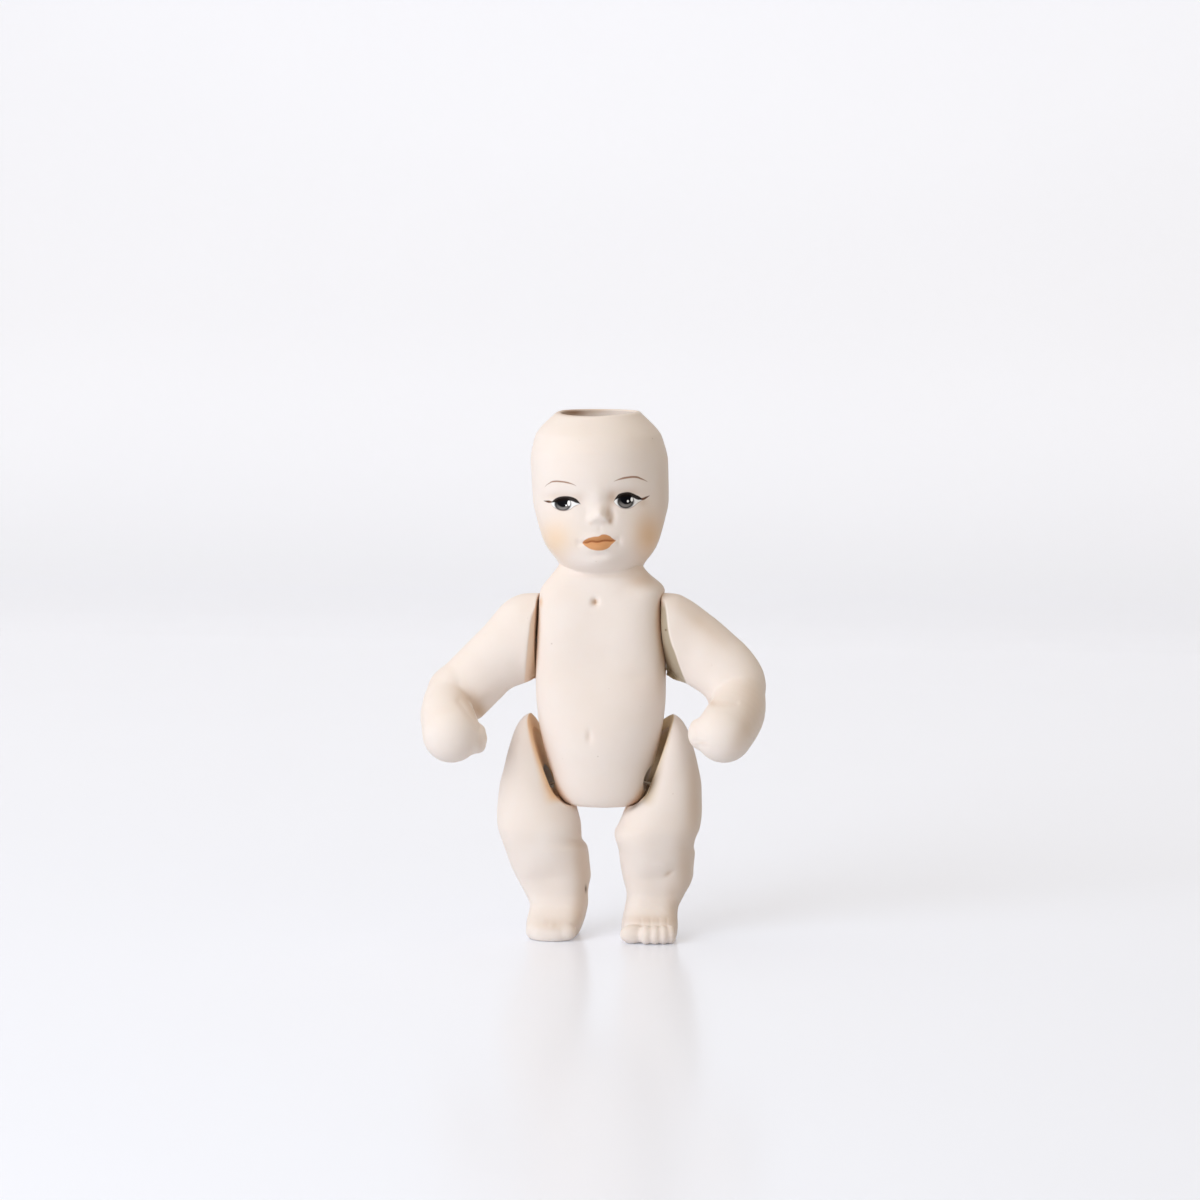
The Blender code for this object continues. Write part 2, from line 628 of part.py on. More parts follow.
def leg_rings():
    """Level ovals up the leg from the sole, measured from the hip pivot."""
    tall = HIP_HEIGHT + THIGH_ABOVE_HIP
    steps = round(tall / LEG_RING_STEP)
    shares = [0, LEG_OUTER_SHARES[1][0] / 2] + [i / steps for i in range(1, steps)]
    shares += [s for s, _ in LEG_OUTER_SHARES if s > shares[-1]]
    angles = ring_angles(LEG_SEGMENTS, 0)
    rings = []
    for share in shares:
        outer = HIP.centre.x + LEG_WIDTH * follow(LEG_OUTER_SHARES, share)
        inner = HIP.centre.x + LEG_WIDTH * follow(LEG_INNER_SHARES, share)
        front = LEG_FRONT * follow(LEG_FRONT_SHARES, share)
        back = LEG_BACK * follow(LEG_BACK_SHARES, share)
        square = follow(LEG_SQUARE_SHARES, share)
        middle = (back - front) / 2
        half = (front + back) / 2
        height = tall * share
        flat = oval(angles, inner, outer, half, half, square)
        rings.append([Vector((x, y + middle, height)) - HIP.pivot for x, y in flat])
    return rings


def seat_cutter_mesh(name, side):
    """What is cut off the inner thigh: a flat seat, and a slope under the torso's lower corner."""
    far = THIGH_ABOVE_HIP + HIP_HEIGHT
    outline = [
        HIP.at(0, far),
        HIP.at(0, -SEAT_BELOW_HIP),
        HIP.at(-SEAT_BREAK_RUN, -SEAT_BELOW_HIP - SEAT_BREAK_RISE),
        HIP.at(-far, -SEAT_BELOW_HIP - SEAT_BREAK_RISE),
        HIP.at(-far, far),
    ]
    reach = LEG_FRONT + LEG_BACK
    rings = [
        mirrored([p + Vector((0, y, 0)) for p in outline], side) for y in (-reach, reach)
    ]
    return skin(name, rings)


def build_leg(side, side_name, turn, bisque, steel):
    """One leg with its foot, its bar and its hook."""
    name = f"leg_{side_name}"
    pivot = Vector((side * HIP.pivot.x, 0, HIP.pivot.z))
    place = Matrix.Translation(pivot) @ Matrix.Rotation(side * turn, 4, "Z")
    rings = [mirrored(ring, side) for ring in leg_rings()]
    leg = add_object(name, skin(name, rings), bisque, place)
    foot_outer, foot_inner = LEG_OUTER_SHARES[1][1], LEG_INNER_SHARES[1][1]
    foot = HIP.centre.x + LEG_WIDTH * (foot_outer + foot_inner) / 2
    foot_width = LEG_WIDTH * (foot_outer - foot_inner)
    balls = []
    for share, size, back in zip(TOE_SHARES, TOE_SIZE_SHARES, TOE_BACK_SHARES):
        forward = LEG_FRONT * (TOE_FRONT_SHARE - back)
        across = foot + foot_width * share
        centre = Vector((across, -forward, TOE_RADIUS * size * TOE_HEIGHT_SHARE))
        balls.append((mirrored([centre - HIP.pivot], side)[0], TOE_RADIUS * size))
    toes = cutter(f"{name}_toes", balls_mesh(f"{name}_toes", balls), place)
    combine(leg, toes, "UNION")
    seat = cutter(f"{name}_seat", seat_cutter_mesh(f"{name}_seat", side), place)
    combine(leg, seat, "DIFFERENCE")
    for helper in socket_cutters(HIP, side, place, name):
        combine(leg, helper, "DIFFERENCE")
    add_stringing(HIP, side, place, name, steel)
    return place


def build():
    """Makes the whole doll."""
    for old in list(bpy.data.objects):
        bpy.data.objects.remove(old)
    bisque = material("bisque", BISQUE, BISQUE_ROUGHNESS)
    steel = material("steel", STEEL, STEEL_ROUGHNESS, metallic=1)
    elastic = material("elastic", ELASTIC, ELASTIC_ROUGHNESS)
    build_casting(bisque)
    arms = [build_arm(1, "left", bisque, steel), build_arm(-1, "right", bisque, steel)]
    legs = [
        build_leg(1, "left", LEFT_LEG_TURN, bisque, steel),
        build_leg(-1, "right", RIGHT_LEG_TURN, bisque, steel),
    ]
    add_elastic("arm_elastic", SHOULDER, arms, elastic)
    add_elastic("leg_elastic", HIP, legs, elastic)


build()
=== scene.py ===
"""Looks for a small strung all-bisque baby doll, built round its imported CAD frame.

Detailed bisque castings replace the plain ones, and each rides on the body that it belongs to. Paint
and sculpted detail are placed by where they show in the photograph's view, 1200 units wide. Lengths
are in metres, unless a comment or a name says otherwise.
"""

import json
import math

import bmesh
import bpy
import numpy as np
from mathutils import Matrix, Vector

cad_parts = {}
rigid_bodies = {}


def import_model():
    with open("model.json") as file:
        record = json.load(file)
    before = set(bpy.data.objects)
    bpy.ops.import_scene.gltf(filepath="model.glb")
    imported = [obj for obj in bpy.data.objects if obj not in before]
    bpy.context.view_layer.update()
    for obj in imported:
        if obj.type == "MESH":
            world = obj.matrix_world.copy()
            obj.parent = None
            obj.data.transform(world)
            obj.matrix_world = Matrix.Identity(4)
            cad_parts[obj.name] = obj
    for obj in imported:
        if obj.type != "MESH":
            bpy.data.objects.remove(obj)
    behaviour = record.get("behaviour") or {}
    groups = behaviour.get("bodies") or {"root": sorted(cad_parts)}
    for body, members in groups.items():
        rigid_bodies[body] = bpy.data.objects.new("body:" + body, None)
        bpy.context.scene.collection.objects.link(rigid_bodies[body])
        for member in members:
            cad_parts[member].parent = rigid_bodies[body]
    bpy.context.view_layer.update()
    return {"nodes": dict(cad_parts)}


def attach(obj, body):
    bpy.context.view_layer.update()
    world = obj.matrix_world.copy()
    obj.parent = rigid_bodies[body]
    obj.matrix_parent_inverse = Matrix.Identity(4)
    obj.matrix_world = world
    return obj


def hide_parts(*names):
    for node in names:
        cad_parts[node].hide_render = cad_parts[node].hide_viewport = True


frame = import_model()

# Head and torso casting: heights
HIP_HEIGHT = 0.0315
HIP_ABOVE_BASE = 0.0054
TORSO_HEIGHT = 0.0466
SHOULDER_BELOW_NECK = 0.0130
HEAD_HEIGHT = 0.0305
BASE_HEIGHT = HIP_HEIGHT - HIP_ABOVE_BASE
NECK_HEIGHT = BASE_HEIGHT + TORSO_HEIGHT
SHOULDER_HEIGHT = NECK_HEIGHT - SHOULDER_BELOW_NECK

# The body's middle stands this far behind the middle of the whole doll, whose hands reach forward
BODY_BEHIND = 0.00332

# Head and torso casting: widths and depths
TORSO_WIDTH = 0.0254
TORSO_FRONT = 0.0085
TORSO_BACK = 0.0083
HEAD_WIDTH = 0.0267
HEAD_FRONT = 0.0146
HEAD_BACK = 0.0138
HEAD_TURN = math.radians(8)
WALL = 0.0018
CROWN_RIM_WIDTH = 0.0010

# Seats of the limbs on the torso
CLEARANCE = 0.0003
SHOULDER_TILT = math.radians(-2.5)
HIP_TILT = math.radians(20)
HIP_TURN_RADIUS = 0.0075
LEFT_LEG_TURN = math.radians(14)
RIGHT_LEG_TURN = math.radians(2)

# Legs
LEG_WIDTH = 0.0158
LEG_FRONT = 0.0086
LEG_BACK = 0.0072
THIGH_ABOVE_HIP = 0.0123

# Stringing
SOCKET_RADIUS = 0.0024
SOCKET_DEPTH = 0.0046
SHOULDER_HOLE_RADIUS = 0.0024
HIP_HOLE_RADIUS = 0.0029
HOOK_INSIDE = 0.0026
ELASTIC_RADIUS = 0.0005
ELASTIC_TURN_RADIUS = 0.0021
QUARTER_TURN = math.pi / 2

# Cutters run this far past what they cut
OVERRUN = 0.0010

MM = 0.001

# A casting's rings have more points toward the front, by this share, and 2 is the power of an ellipse
FRONT_BIAS_SHARE = 0.45
ROUND_SHARE = 2.0

# Shares of the casting's sizes, from the flat base (0) to the neck (1)
TORSO_WIDTH_SHARES = [
    (0, 0.49), (0.011, 0.56), (0.026, 0.614), (0.047, 0.665), (0.092, 0.737), (0.155, 0.795),
    (0.26, 0.898), (0.365, 0.969), (0.47, 1), (0.577, 0.996), (0.7, 0.976), (0.783, 0.953),
    (0.867, 0.937), (0.899, 0.929), (0.921, 0.89), (0.942, 0.819), (0.964, 0.74), (0.985, 0.677),
    (1, 0.646),
]
TORSO_DEPTH_STATIONS = [
    0, 0.011, 0.047, 0.092, 0.155, 0.26, 0.365, 0.47, 0.577, 0.7, 0.783, 0.867, 0.921, 0.964, 1,
]
TORSO_FRONT_SHARES = list(zip(TORSO_DEPTH_STATIONS, [
    0.52, 0.6, 0.72, 0.8, 0.87, 0.97, 1, 0.98, 0.93, 0.92, 0.9, 0.86, 0.81, 0.78, 0.78,
]))
TORSO_BACK_SHARES = list(zip(TORSO_DEPTH_STATIONS, [
    0.54, 0.62, 0.75, 0.84, 0.93, 1, 0.94, 0.86, 0.87, 0.95, 0.97, 0.93, 0.87, 0.82, 0.8,
]))
TORSO_SQUARE_SHARES = [(0, 2), (0.26, 2.05), (0.47, 2.2), (0.867, 2.35), (1, 2)]

# Shares of the head's sizes, from the neck (0) to the crown rim (1)
HEAD_WIDTH_SHARES = [
    (0, 0.614), (0.026, 0.65), (0.079, 0.74), (0.128, 0.806), (0.18, 0.853), (0.233, 0.888),
    (0.282, 0.918), (0.334, 0.946), (0.384, 0.974), (0.436, 0.989), (0.534, 0.995), (0.692, 1),
    (0.744, 0.983), (0.793, 0.955), (0.846, 0.918), (0.895, 0.842), (0.948, 0.725), (0.98, 0.65),
    (1, 0.61),
]
HEAD_FRONT_SHARES = [
    (0, 0.47), (0.02, 0.575), (0.05, 0.68), (0.09, 0.768), (0.135, 0.83), (0.18, 0.868), (0.233, 0.893),
    (0.334, 0.92), (0.436, 0.925), (0.534, 0.965), (0.633, 1), (0.744, 0.982), (0.846, 0.88),
    (0.895, 0.785), (0.948, 0.665), (0.98, 0.595), (1, 0.56),
]
HEAD_BACK_SHARES = [
    (0, 0.48), (0.043, 0.54), (0.128, 0.69), (0.233, 0.84), (0.334, 0.94), (0.436, 0.985), (0.567, 1),
    (0.744, 0.93), (0.846, 0.835), (0.895, 0.765), (0.948, 0.665), (0.98, 0.61), (1, 0.575),
]
HEAD_TURN_SHARES = [(0, 0), (0.18, 1), (1, 1)]

# Leg outline from the sole (0) to the thigh's top (1), in shares of its width, front and back
LEG_SIDE_STATIONS = [
    0, 0.028, 0.071, 0.13, 0.183, 0.254, 0.315, 0.37, 0.441, 0.502, 0.575, 0.671, 0.783, 0.872, 0.932,
    0.973, 0.991, 1,
]
LEG_OUTER_SHARES = list(zip(LEG_SIDE_STATIONS, [
    0.27, 0.285, 0.295, 0.29, 0.34, 0.42, 0.478, 0.51, 0.545, 0.592, 0.617, 0.617, 0.567, 0.503, 0.446,
    0.376, 0.32, 0.27,
]))
LEG_INNER_SHARES = list(zip(LEG_SIDE_STATIONS, [
    -0.357, -0.376, -0.389, -0.389, -0.383, -0.408, -0.427, -0.44, -0.434, -0.402, -0.34, -0.218, -0.12,
    -0.02, 0.066, 0.13, 0.18, 0.225,
]))
LEG_FRONT_SHARES = [
    (0, 0.98), (0.028, 1.04), (0.055, 1.02), (0.083, 0.88), (0.111, 0.66), (0.142, 0.52), (0.183, 0.48),
    (0.254, 0.58), (0.315, 0.7), (0.37, 0.81), (0.441, 0.94), (0.502, 1), (0.575, 0.98), (0.671, 0.91),
    (0.783, 0.81), (0.872, 0.7), (0.932, 0.53), (0.973, 0.35), (0.991, 0.2), (1, 0.05),
]
LEG_BACK_SHARES = [
    (0, 0.7), (0.028, 0.76), (0.055, 0.78), (0.111, 0.76), (0.142, 0.72), (0.183, 0.74), (0.254, 0.89),
    (0.315, 0.98), (0.37, 0.95), (0.441, 0.8), (0.502, 0.73), (0.575, 0.8), (0.671, 0.94), (0.783, 1),
    (0.872, 0.92), (0.932, 0.75), (0.973, 0.53), (0.991, 0.36), (1, 0.2),
]


def follow(shares, at):
    """The value at a station on a smooth curve through (station, value) pairs that never overshoots."""
    stations = [s for s, _ in shares]
    values = [v for _, v in shares]
    if at <= stations[0]:
        return values[0]
    if at >= stations[-1]:
        return values[-1]
    steps = [b - a for a, b in zip(stations, stations[1:])]
    slopes = [(b - a) / h for a, b, h in zip(values, values[1:], steps)]
    tangents = [slopes[0]]
    for before, after in zip(slopes, slopes[1:]):
        rising = before * after > 0
        tangents.append(2 * before * after / (before + after) if rising else 0)
    tangents.append(slopes[-1])
    i = max(k for k in range(len(steps)) if stations[k] <= at)
    h = steps[i]
    u = (at - stations[i]) / h
    start = values[i] * (1 + 2 * u) * (1 - u) ** 2 + tangents[i] * h * u * (1 - u) ** 2
    end = values[i + 1] * u * u * (3 - 2 * u) + tangents[i + 1] * h * u * u * (u - 1)
    return start + end


def power_of(value, power):
    """A signed power, which squares off the sine and cosine of a ring."""
    return math.copysign(abs(value) ** power, value)


def ring_angles(count, front_bias):
    """Angles round a ring from the front (-Y) through +X, closer together at the front."""
    turns = [math.tau * i / count for i in range(count)]
    return [t - front_bias * math.sin(t) for t in turns]


def oval(angles, out_low, out_high, front, back, square):
    """Points of one oval ring, from its reach to -X and +X, to the front and to the back."""
    middle = (out_low + out_high) / 2
    half = (out_high - out_low) / 2
    power = ROUND_SHARE / square
    points = []
    for a in angles:
        depth = front if math.cos(a) > 0 else back
        x = middle + half * power_of(math.sin(a), power)
        points.append((x, -depth * power_of(math.cos(a), power)))
    return points


def torso_half_width(height):
    """Half width of the torso at a height above the floor."""
    share = (height - BASE_HEIGHT) / TORSO_HEIGHT
    return TORSO_WIDTH / 2 * follow(TORSO_WIDTH_SHARES, share)


class Seat:
    """Where a limb meets the torso: the flat seat's centre, the axis out of it, and the pivot."""

    def __init__(self, height, tilt, turn_radius):
        self.axis = Vector((math.cos(tilt), 0, -math.sin(tilt)))
        self.up = Vector((math.sin(tilt), 0, math.cos(tilt)))
        out = torso_half_width(height) + CLEARANCE / math.cos(tilt)
        self.centre = Vector((out, 0, height))
        self.depth = turn_radius / math.cos(tilt)
        self.pivot = self.centre - self.axis * self.depth

    def at(self, out, up):
        """A point in the seat's own plane of symmetry, measured from the pivot."""
        return self.axis * (self.depth + out) + self.up * up


SHOULDER = Seat(SHOULDER_HEIGHT, SHOULDER_TILT, 0)
HIP = Seat(HIP_HEIGHT, HIP_TILT, HIP_TURN_RADIUS)

# The photograph's view: its turn and lift from the doll's front, and what one of its units shows
VIEW_TURN = math.radians(9)
VIEW_LIFT = math.radians(6)
VIEW_DISTANCE = 0.75
VIEW_UNIT = 0.000195
VIEW_MIDDLE = Vector((-0.0002, BODY_BEHIND, 0.06633))
VIEW_BACK = Vector((
    math.sin(VIEW_TURN) * math.cos(VIEW_LIFT), -math.cos(VIEW_TURN) * math.cos(VIEW_LIFT),
    math.sin(VIEW_LIFT),
))
VIEW_RIGHT = Vector((math.cos(VIEW_TURN), math.sin(VIEW_TURN), 0))
VIEW_UP = VIEW_BACK.cross(VIEW_RIGHT)
EYE_POINT = VIEW_MIDDLE + VIEW_BACK * VIEW_DISTANCE
HALF_FRAME = 600
FOCUS = VIEW_DISTANCE / VIEW_UNIT


def seen(points):
    """Where points show in the photograph's view: across and down, in its units."""
    away = np.asarray(points) - np.array(EYE_POINT)
    depth = -(away @ np.array(VIEW_BACK))
    across = HALF_FRAME + FOCUS * (away @ np.array(VIEW_RIGHT)) / depth
    down = HALF_FRAME - FOCUS * (away @ np.array(VIEW_UP)) / depth
    return across, down


def spot(across, down, y_mm):
    """The place at a depth (world y in millimetres) that shows at a point of the view."""
    right, up = (across - HALF_FRAME) / FOCUS, (HALF_FRAME - down) / FOCUS
    ray = VIEW_RIGHT * right + VIEW_UP * up - VIEW_BACK
    return EYE_POINT + ray * ((y_mm * MM - EYE_POINT.y) / ray.y)


def leaned(across, down, x, y, lean=0):
    """Distances from a point of the view, along and square to a line at a lean in degrees."""
    t = math.radians(lean)
    along = (across - x) * math.cos(t) + (down - y) * math.sin(t)
    return along, (down - y) * math.cos(t) - (across - x) * math.sin(t)


# Mesh tools

ROD_SIDES = 32
BALL_ROUNDS = 4


def mesh_of(name, rings, closed=False):
    """A mesh over rings of equal point counts, capped at both ends or closed into a loop."""
    count = len(rings[0])
    points = [tuple(p) for ring in rings for p in ring]
    faces = []
    for k in range(len(rings) - (0 if closed else 1)):
        low, high = k * count, (k + 1) % len(rings) * count
        for i in range(count):
            j = (i + 1) % count
            faces.append((low + i, low + j, high + j, high + i))
    if not closed:
        faces.append(tuple(range(count))[::-1])
        faces.append(tuple(range((len(rings) - 1) * count, len(rings) * count)))
    mesh = bpy.data.meshes.new(name)
    mesh.from_pydata(points, [], faces)
    bm = bmesh.new()
    bm.from_mesh(mesh)
    bmesh.ops.recalc_face_normals(bm, faces=bm.faces)
    bm.to_mesh(mesh)
    bm.free()
    return mesh


def bmesh_to_mesh(name, bm):
    mesh = bpy.data.meshes.new(name)
    bm.to_mesh(mesh)
    bm.free()
    return mesh


def piece(name, data):
    made = bpy.data.objects.new(name, data)
    bpy.context.scene.collection.objects.link(made)
    return made


def settle(made):
    """Turns an object's modifiers into its mesh."""
    view = bpy.context.evaluated_depsgraph_get()
    mesh = bpy.data.meshes.new_from_object(made.evaluated_get(view), depsgraph=view)
    made.modifiers.clear()
    made.data = mesh


def round_off(made, voxel, rounds):
    """Fuses what a mesh holds into one skin and softens it."""
    step = made.modifiers.new("fuse", "REMESH")
    step.mode = "VOXEL"
    step.voxel_size = voxel
    soft = made.modifiers.new("soften", "SMOOTH")
    soft.factor = 0.5
    soft.iterations = rounds
    settle(made)


def cut(made, meshes):
    """Cuts closed meshes out of an object."""
    helpers = []
    for mesh in meshes:
        helper = piece(mesh.name, mesh)
        step = made.modifiers.new(mesh.name, "BOOLEAN")
        step.operation = "DIFFERENCE"
        step.object = helper
        step.solver = "EXACT"
        helpers.append(helper)
    settle(made)
    for helper in helpers:
        bpy.data.objects.remove(helper)


def join(name, meshes):
    """One mesh holding several."""
    bm = bmesh.new()
    for mesh in meshes:
        bm.from_mesh(mesh)
    return bmesh_to_mesh(name, bm)


def rod(name, radius, start, end):
    along = end - start
    bm = bmesh.new()
    place = Matrix.Translation((start + end) / 2) @ along.to_track_quat("Z", "Y").to_matrix().to_4x4()
    bmesh.ops.create_cone(
        bm, cap_ends=True, segments=ROD_SIDES, radius1=radius, radius2=radius, depth=along.length,
        matrix=place,
    )
    return bmesh_to_mesh(name, bm)


def ball(name, centre, radii, turn=None):
    bm = bmesh.new()
    bmesh.ops.create_icosphere(bm, subdivisions=BALL_ROUNDS, radius=1)
    bm.transform(Matrix.Translation(centre) @ (turn or Matrix()) @ Matrix.Diagonal((*radii, 1)))
    return bmesh_to_mesh(name, bm)


def arrays(mesh):
    """A mesh's points and normals as arrays."""
    points = np.zeros(len(mesh.vertices) * 3)
    mesh.vertices.foreach_get("co", points)
    normals = np.zeros(len(mesh.vertices) * 3)
    mesh.vertex_normals.foreach_get("vector", normals)
    return points.reshape(-1, 3), normals.reshape(-1, 3)


def put_points(made, points):
    made.data.vertices.foreach_set("co", points.ravel())


def sculpt(made, dabs, strokes):
    """Raises and sinks the side that faces the view.

    A dab is (across, down, half width, half height, rise in mm, lean in degrees). A stroke is
    (points across and down, half width, rise in mm).
    """
    points, normals = arrays(made.data)
    across, down = seen(points)
    facing = np.clip((normals @ np.array(VIEW_BACK)) * 2.5, 0, 1)
    rise = np.zeros(len(points))
    for x, y, wide, high, amount, *lean in dabs:
        u, v = leaned(across, down, x, y, *lean)
        rise += amount * np.exp(-((u / wide) ** 2) - (v / high) ** 2)
    for path, wide, amount in strokes:
        nearest = np.full(len(points), np.inf)
        for (x0, y0), (x1, y1) in zip(path, path[1:]):
            dx, dy = x1 - x0, y1 - y0
            t = np.clip(((across - x0) * dx + (down - y0) * dy) / (dx * dx + dy * dy), 0, 1)
            apart = np.hypot(across - x0 - t * dx, down - y0 - t * dy)
            nearest = np.minimum(nearest, apart)
        rise += amount * np.exp(-((nearest / wide) ** 2))
    way = normals * 0.5 + np.array(VIEW_BACK) * 0.5
    points += way * (rise * facing)[:, None] * MM
    put_points(made, points)
    made.data.update()


def mirrored(points, side):
    """The same points on the doll's left (side 1) or right (side -1)."""
    return [Vector((side * p[0], p[1], p[2])) for p in points]


def ease(value, low, high):
    """0 below low, 1 above high and smooth between."""
    t = np.clip((value - low) / (high - low), 0, 1)
    return t * t * (3 - 2 * t)


# Head and torso

HEAD_STEP = 0.0002
TORSO_STEP = 0.0003
CAST_SIDES = 400
# The base's edge has this many rings in each of its first shares of the torso's height
BASE_RINGS = 12
BASE_SHARE = 0.01
STEPS_FROM_SHARE = 0.0195
# The crown's opening has rounded edges, and straight walls this far down
RIM_ROUND = 0.0004
RIM_RINGS = 6
MOUTH_DEPTH = 0.0022
HEAD_HOLLOW_RINGS = 30
TORSO_HOLLOW_RINGS = 40
# Squarer shoulders than a plain oval, by share of the torso's height
SHOULDER_SQUARE = [(0.40, 0), (0.60, 0.6), (0.86, 0.9), (0.93, 0.5), (1.0, 0)]
# The jaw's lower line: how far its carving fades to the back, its rise at the sides, drop in the
# middle and limit in mm, its half width, and its reach above and below the neck
JAW_FADE = 0.006
JAW_RISE = 1.25
JAW_DROP = 0.3
JAW_TOP = 1.1
JAW_HALF_WIDTH = 0.0082
JAW_ABOVE = 0.0055
JAW_BELOW = 0.0030
# A fuller cheek low on the doll's left: how far out, at what height, and its spreads up and across
JOWL_OUT = 0.0008
JOWL_HEIGHT = 0.0693
JOWL_SPREAD = 0.0021
JOWL_FROM_MIDDLE = 0.008
# The upper head leans to the doll's right, and the crown's rim slopes down to the front
LEAN_OUT = 0.0006
LEAN_FROM = 0.083
LEAN_OVER = 0.020
SLOPE_DROP = 0.0007
SLOPE_FROM = 0.0985
SLOPE_OVER = 0.0047
SLOPE_BACK = 0.006
SLOPE_SPREAD = 0.012
SLOPE_LEAST = 0.3


def casting_ring(width, front, back, square, height, turn, inset, angles):
    """A ring of the casting, from its half width and its depths, turned about the body's axis."""
    points = []
    spin = Matrix.Rotation(turn, 3, "Z")
    for x, y in oval(angles, inset - width, width - inset, front - inset, back - inset, square):
        p = spin @ Vector((x, y, height))
        points.append((p.x, p.y + BODY_BEHIND, p.z))
    return points


def torso_ring(share, inset, angles):
    square = follow(TORSO_SQUARE_SHARES, share) + follow(SHOULDER_SQUARE, share)
    return casting_ring(
        TORSO_WIDTH / 2 * follow(TORSO_WIDTH_SHARES, share),
        TORSO_FRONT * follow(TORSO_FRONT_SHARES, share),
        TORSO_BACK * follow(TORSO_BACK_SHARES, share), square,
        BASE_HEIGHT + TORSO_HEIGHT * share, 0, inset, angles,
    )


def head_ring(share, inset, angles):
    return casting_ring(
        HEAD_WIDTH / 2 * follow(HEAD_WIDTH_SHARES, share),
        HEAD_FRONT * follow(HEAD_FRONT_SHARES, share),
        HEAD_BACK * follow(HEAD_BACK_SHARES, share), ROUND_SHARE,
        NECK_HEIGHT + HEAD_HEIGHT * share, HEAD_TURN * follow(HEAD_TURN_SHARES, share), inset,
        angles,
    )


def crown_ring(inset, drop, angles):
    """The crown's opening, carried straight down."""
    return [(x, y, z - drop) for x, y, z in head_ring(1, inset, angles)]


def shape_head(made):
    """Curves the jaw's lower line, lets the head lean and slopes the crown's front rim."""
    points, _ = arrays(made.data)
    x, y, z = points.T
    front = np.clip((BODY_BEHIND - y) / JAW_FADE + 0.5, 0, 1)
    drop = (z - NECK_HEIGHT) / np.where(z > NECK_HEIGHT, JAW_ABOVE, JAW_BELOW)
    curve = (JAW_RISE * (x / JAW_HALF_WIDTH) ** 2 - JAW_DROP).clip(-JAW_DROP, JAW_TOP)
    z += curve * np.exp(-drop * drop) * front * MM
    jowl = np.exp(-(((z - JOWL_HEIGHT) / JOWL_SPREAD) ** 2))
    x += JOWL_OUT * jowl * np.clip(x / JOWL_FROM_MIDDLE, 0, 1)
    x -= LEAN_OUT * ease(z, LEAN_FROM, LEAN_FROM + LEAN_OVER)
    near = np.clip((z - SLOPE_FROM) / SLOPE_OVER, 0, 1)
    ahead = np.clip((SLOPE_BACK - y) / SLOPE_SPREAD, 0, 1)
    z -= SLOPE_DROP * near * near * ahead * np.clip(1 - x / SLOPE_SPREAD, SLOPE_LEAST, 1)
    put_points(made, np.stack([x, y, z], 1))


def casting_rings():
    """Rings up the outside, over the crown's rim and down the hollow."""
    angles = ring_angles(CAST_SIDES, FRONT_BIAS_SHARE)
    torso_steps = round(TORSO_HEIGHT / TORSO_STEP)
    head_steps = round(HEAD_HEIGHT / HEAD_STEP)
    shares = [s * BASE_SHARE / BASE_RINGS for s in range(2 * BASE_RINGS)]
    steps = [i / torso_steps for i in range(torso_steps)]
    shares += [s for s in steps if s > STEPS_FROM_SHARE]
    outside = [torso_ring(s, 0, angles) for s in shares]
    outside += [head_ring(i / head_steps, 0, angles) for i in range(head_steps - 1)]
    turns = [QUARTER_TURN * k / RIM_RINGS for k in range(RIM_RINGS + 1)]
    bends = [(RIM_ROUND * (1 - math.cos(t)), RIM_ROUND * (1 - math.sin(t))) for t in turns]
    outside += [head_ring(1 - drop / HEAD_HEIGHT, inset, angles) for inset, drop in bends]
    inside = [crown_ring(CROWN_RIM_WIDTH - inset, drop, angles) for inset, drop in bends[::-1]]
    drops = [MOUTH_DEPTH * i / RIM_RINGS for i in range(1, RIM_RINGS + 1)]
    inside += [crown_ring(CROWN_RIM_WIDTH, drop, angles) for drop in drops]
    rim = 1 - 2 * MOUTH_DEPTH / HEAD_HEIGHT
    count = HEAD_HOLLOW_RINGS
    inside += [head_ring(rim * (1 - i / count), WALL, angles) for i in range(count)]
    floor = WALL / TORSO_HEIGHT
    count = TORSO_HOLLOW_RINGS
    inside += [torso_ring(1 - (1 - floor) * i / count, WALL, angles) for i in range(count + 1)]
    return outside + inside


def make_casting():
    """Head and torso in one, with the crown open and a hole at each seat for the stringing."""
    made = piece("bisque_head_torso", mesh_of("bisque_head_torso", casting_rings()))
    shape_head(made)
    sculpt(made, FACE_DABS + TORSO_DABS, FACE_STROKES)
    holes = []
    for seat, radius in ((SHOULDER, SHOULDER_HOLE_RADIUS), (HIP, HIP_HOLE_RADIUS)):
        for side in (1, -1):
            ends = seat.centre - seat.axis * (WALL + HOOK_INSIDE), seat.centre + seat.axis * OVERRUN
            hole = rod("stringing_hole", radius, *mirrored(ends, side))
            hole.transform(Matrix.Translation((0, BODY_BEHIND, 0)))
            holes.append(hole)
    cut(made, holes)
    return made


FACE_DABS = [
    (597.5, 500, 7.5, 13, 0.3), (599.5, 514.5, 6, 7, 1.2), (592.8, 519, 4.2, 3.8, 0.55),
    (605.4, 518.4, 4.2, 3.8, 0.6), (600, 529.5, 2.4, 3.6, -0.1), (612.5, 516, 3.4, 7, -0.35),
    (586, 514, 4.5, 9, -0.2), (562, 499, 16, 9, -0.5), (628, 497, 16, 9, -0.6), (583, 503, 7, 9, -0.25),
    (612.5, 501, 6.5, 9, -0.3), (563, 503.5, 9.5, 6.5, 0.35), (626, 501, 9.5, 6.5, 0.35),
    (562, 513.5, 11, 3.5, -0.12), (627, 511.5, 11, 3.5, -0.14), (558, 541, 17, 16, 0.6),
    (645, 538, 17, 16, 0.6), (598, 538, 13, 4.2, 0.5), (599, 547, 10, 4, 0.6),
    (599, 555.5, 10, 3.2, -0.42), (601, 561, 18, 8, 0.7), (579, 543, 3, 4, -0.25),
    (619, 541, 3, 4, -0.25),
]
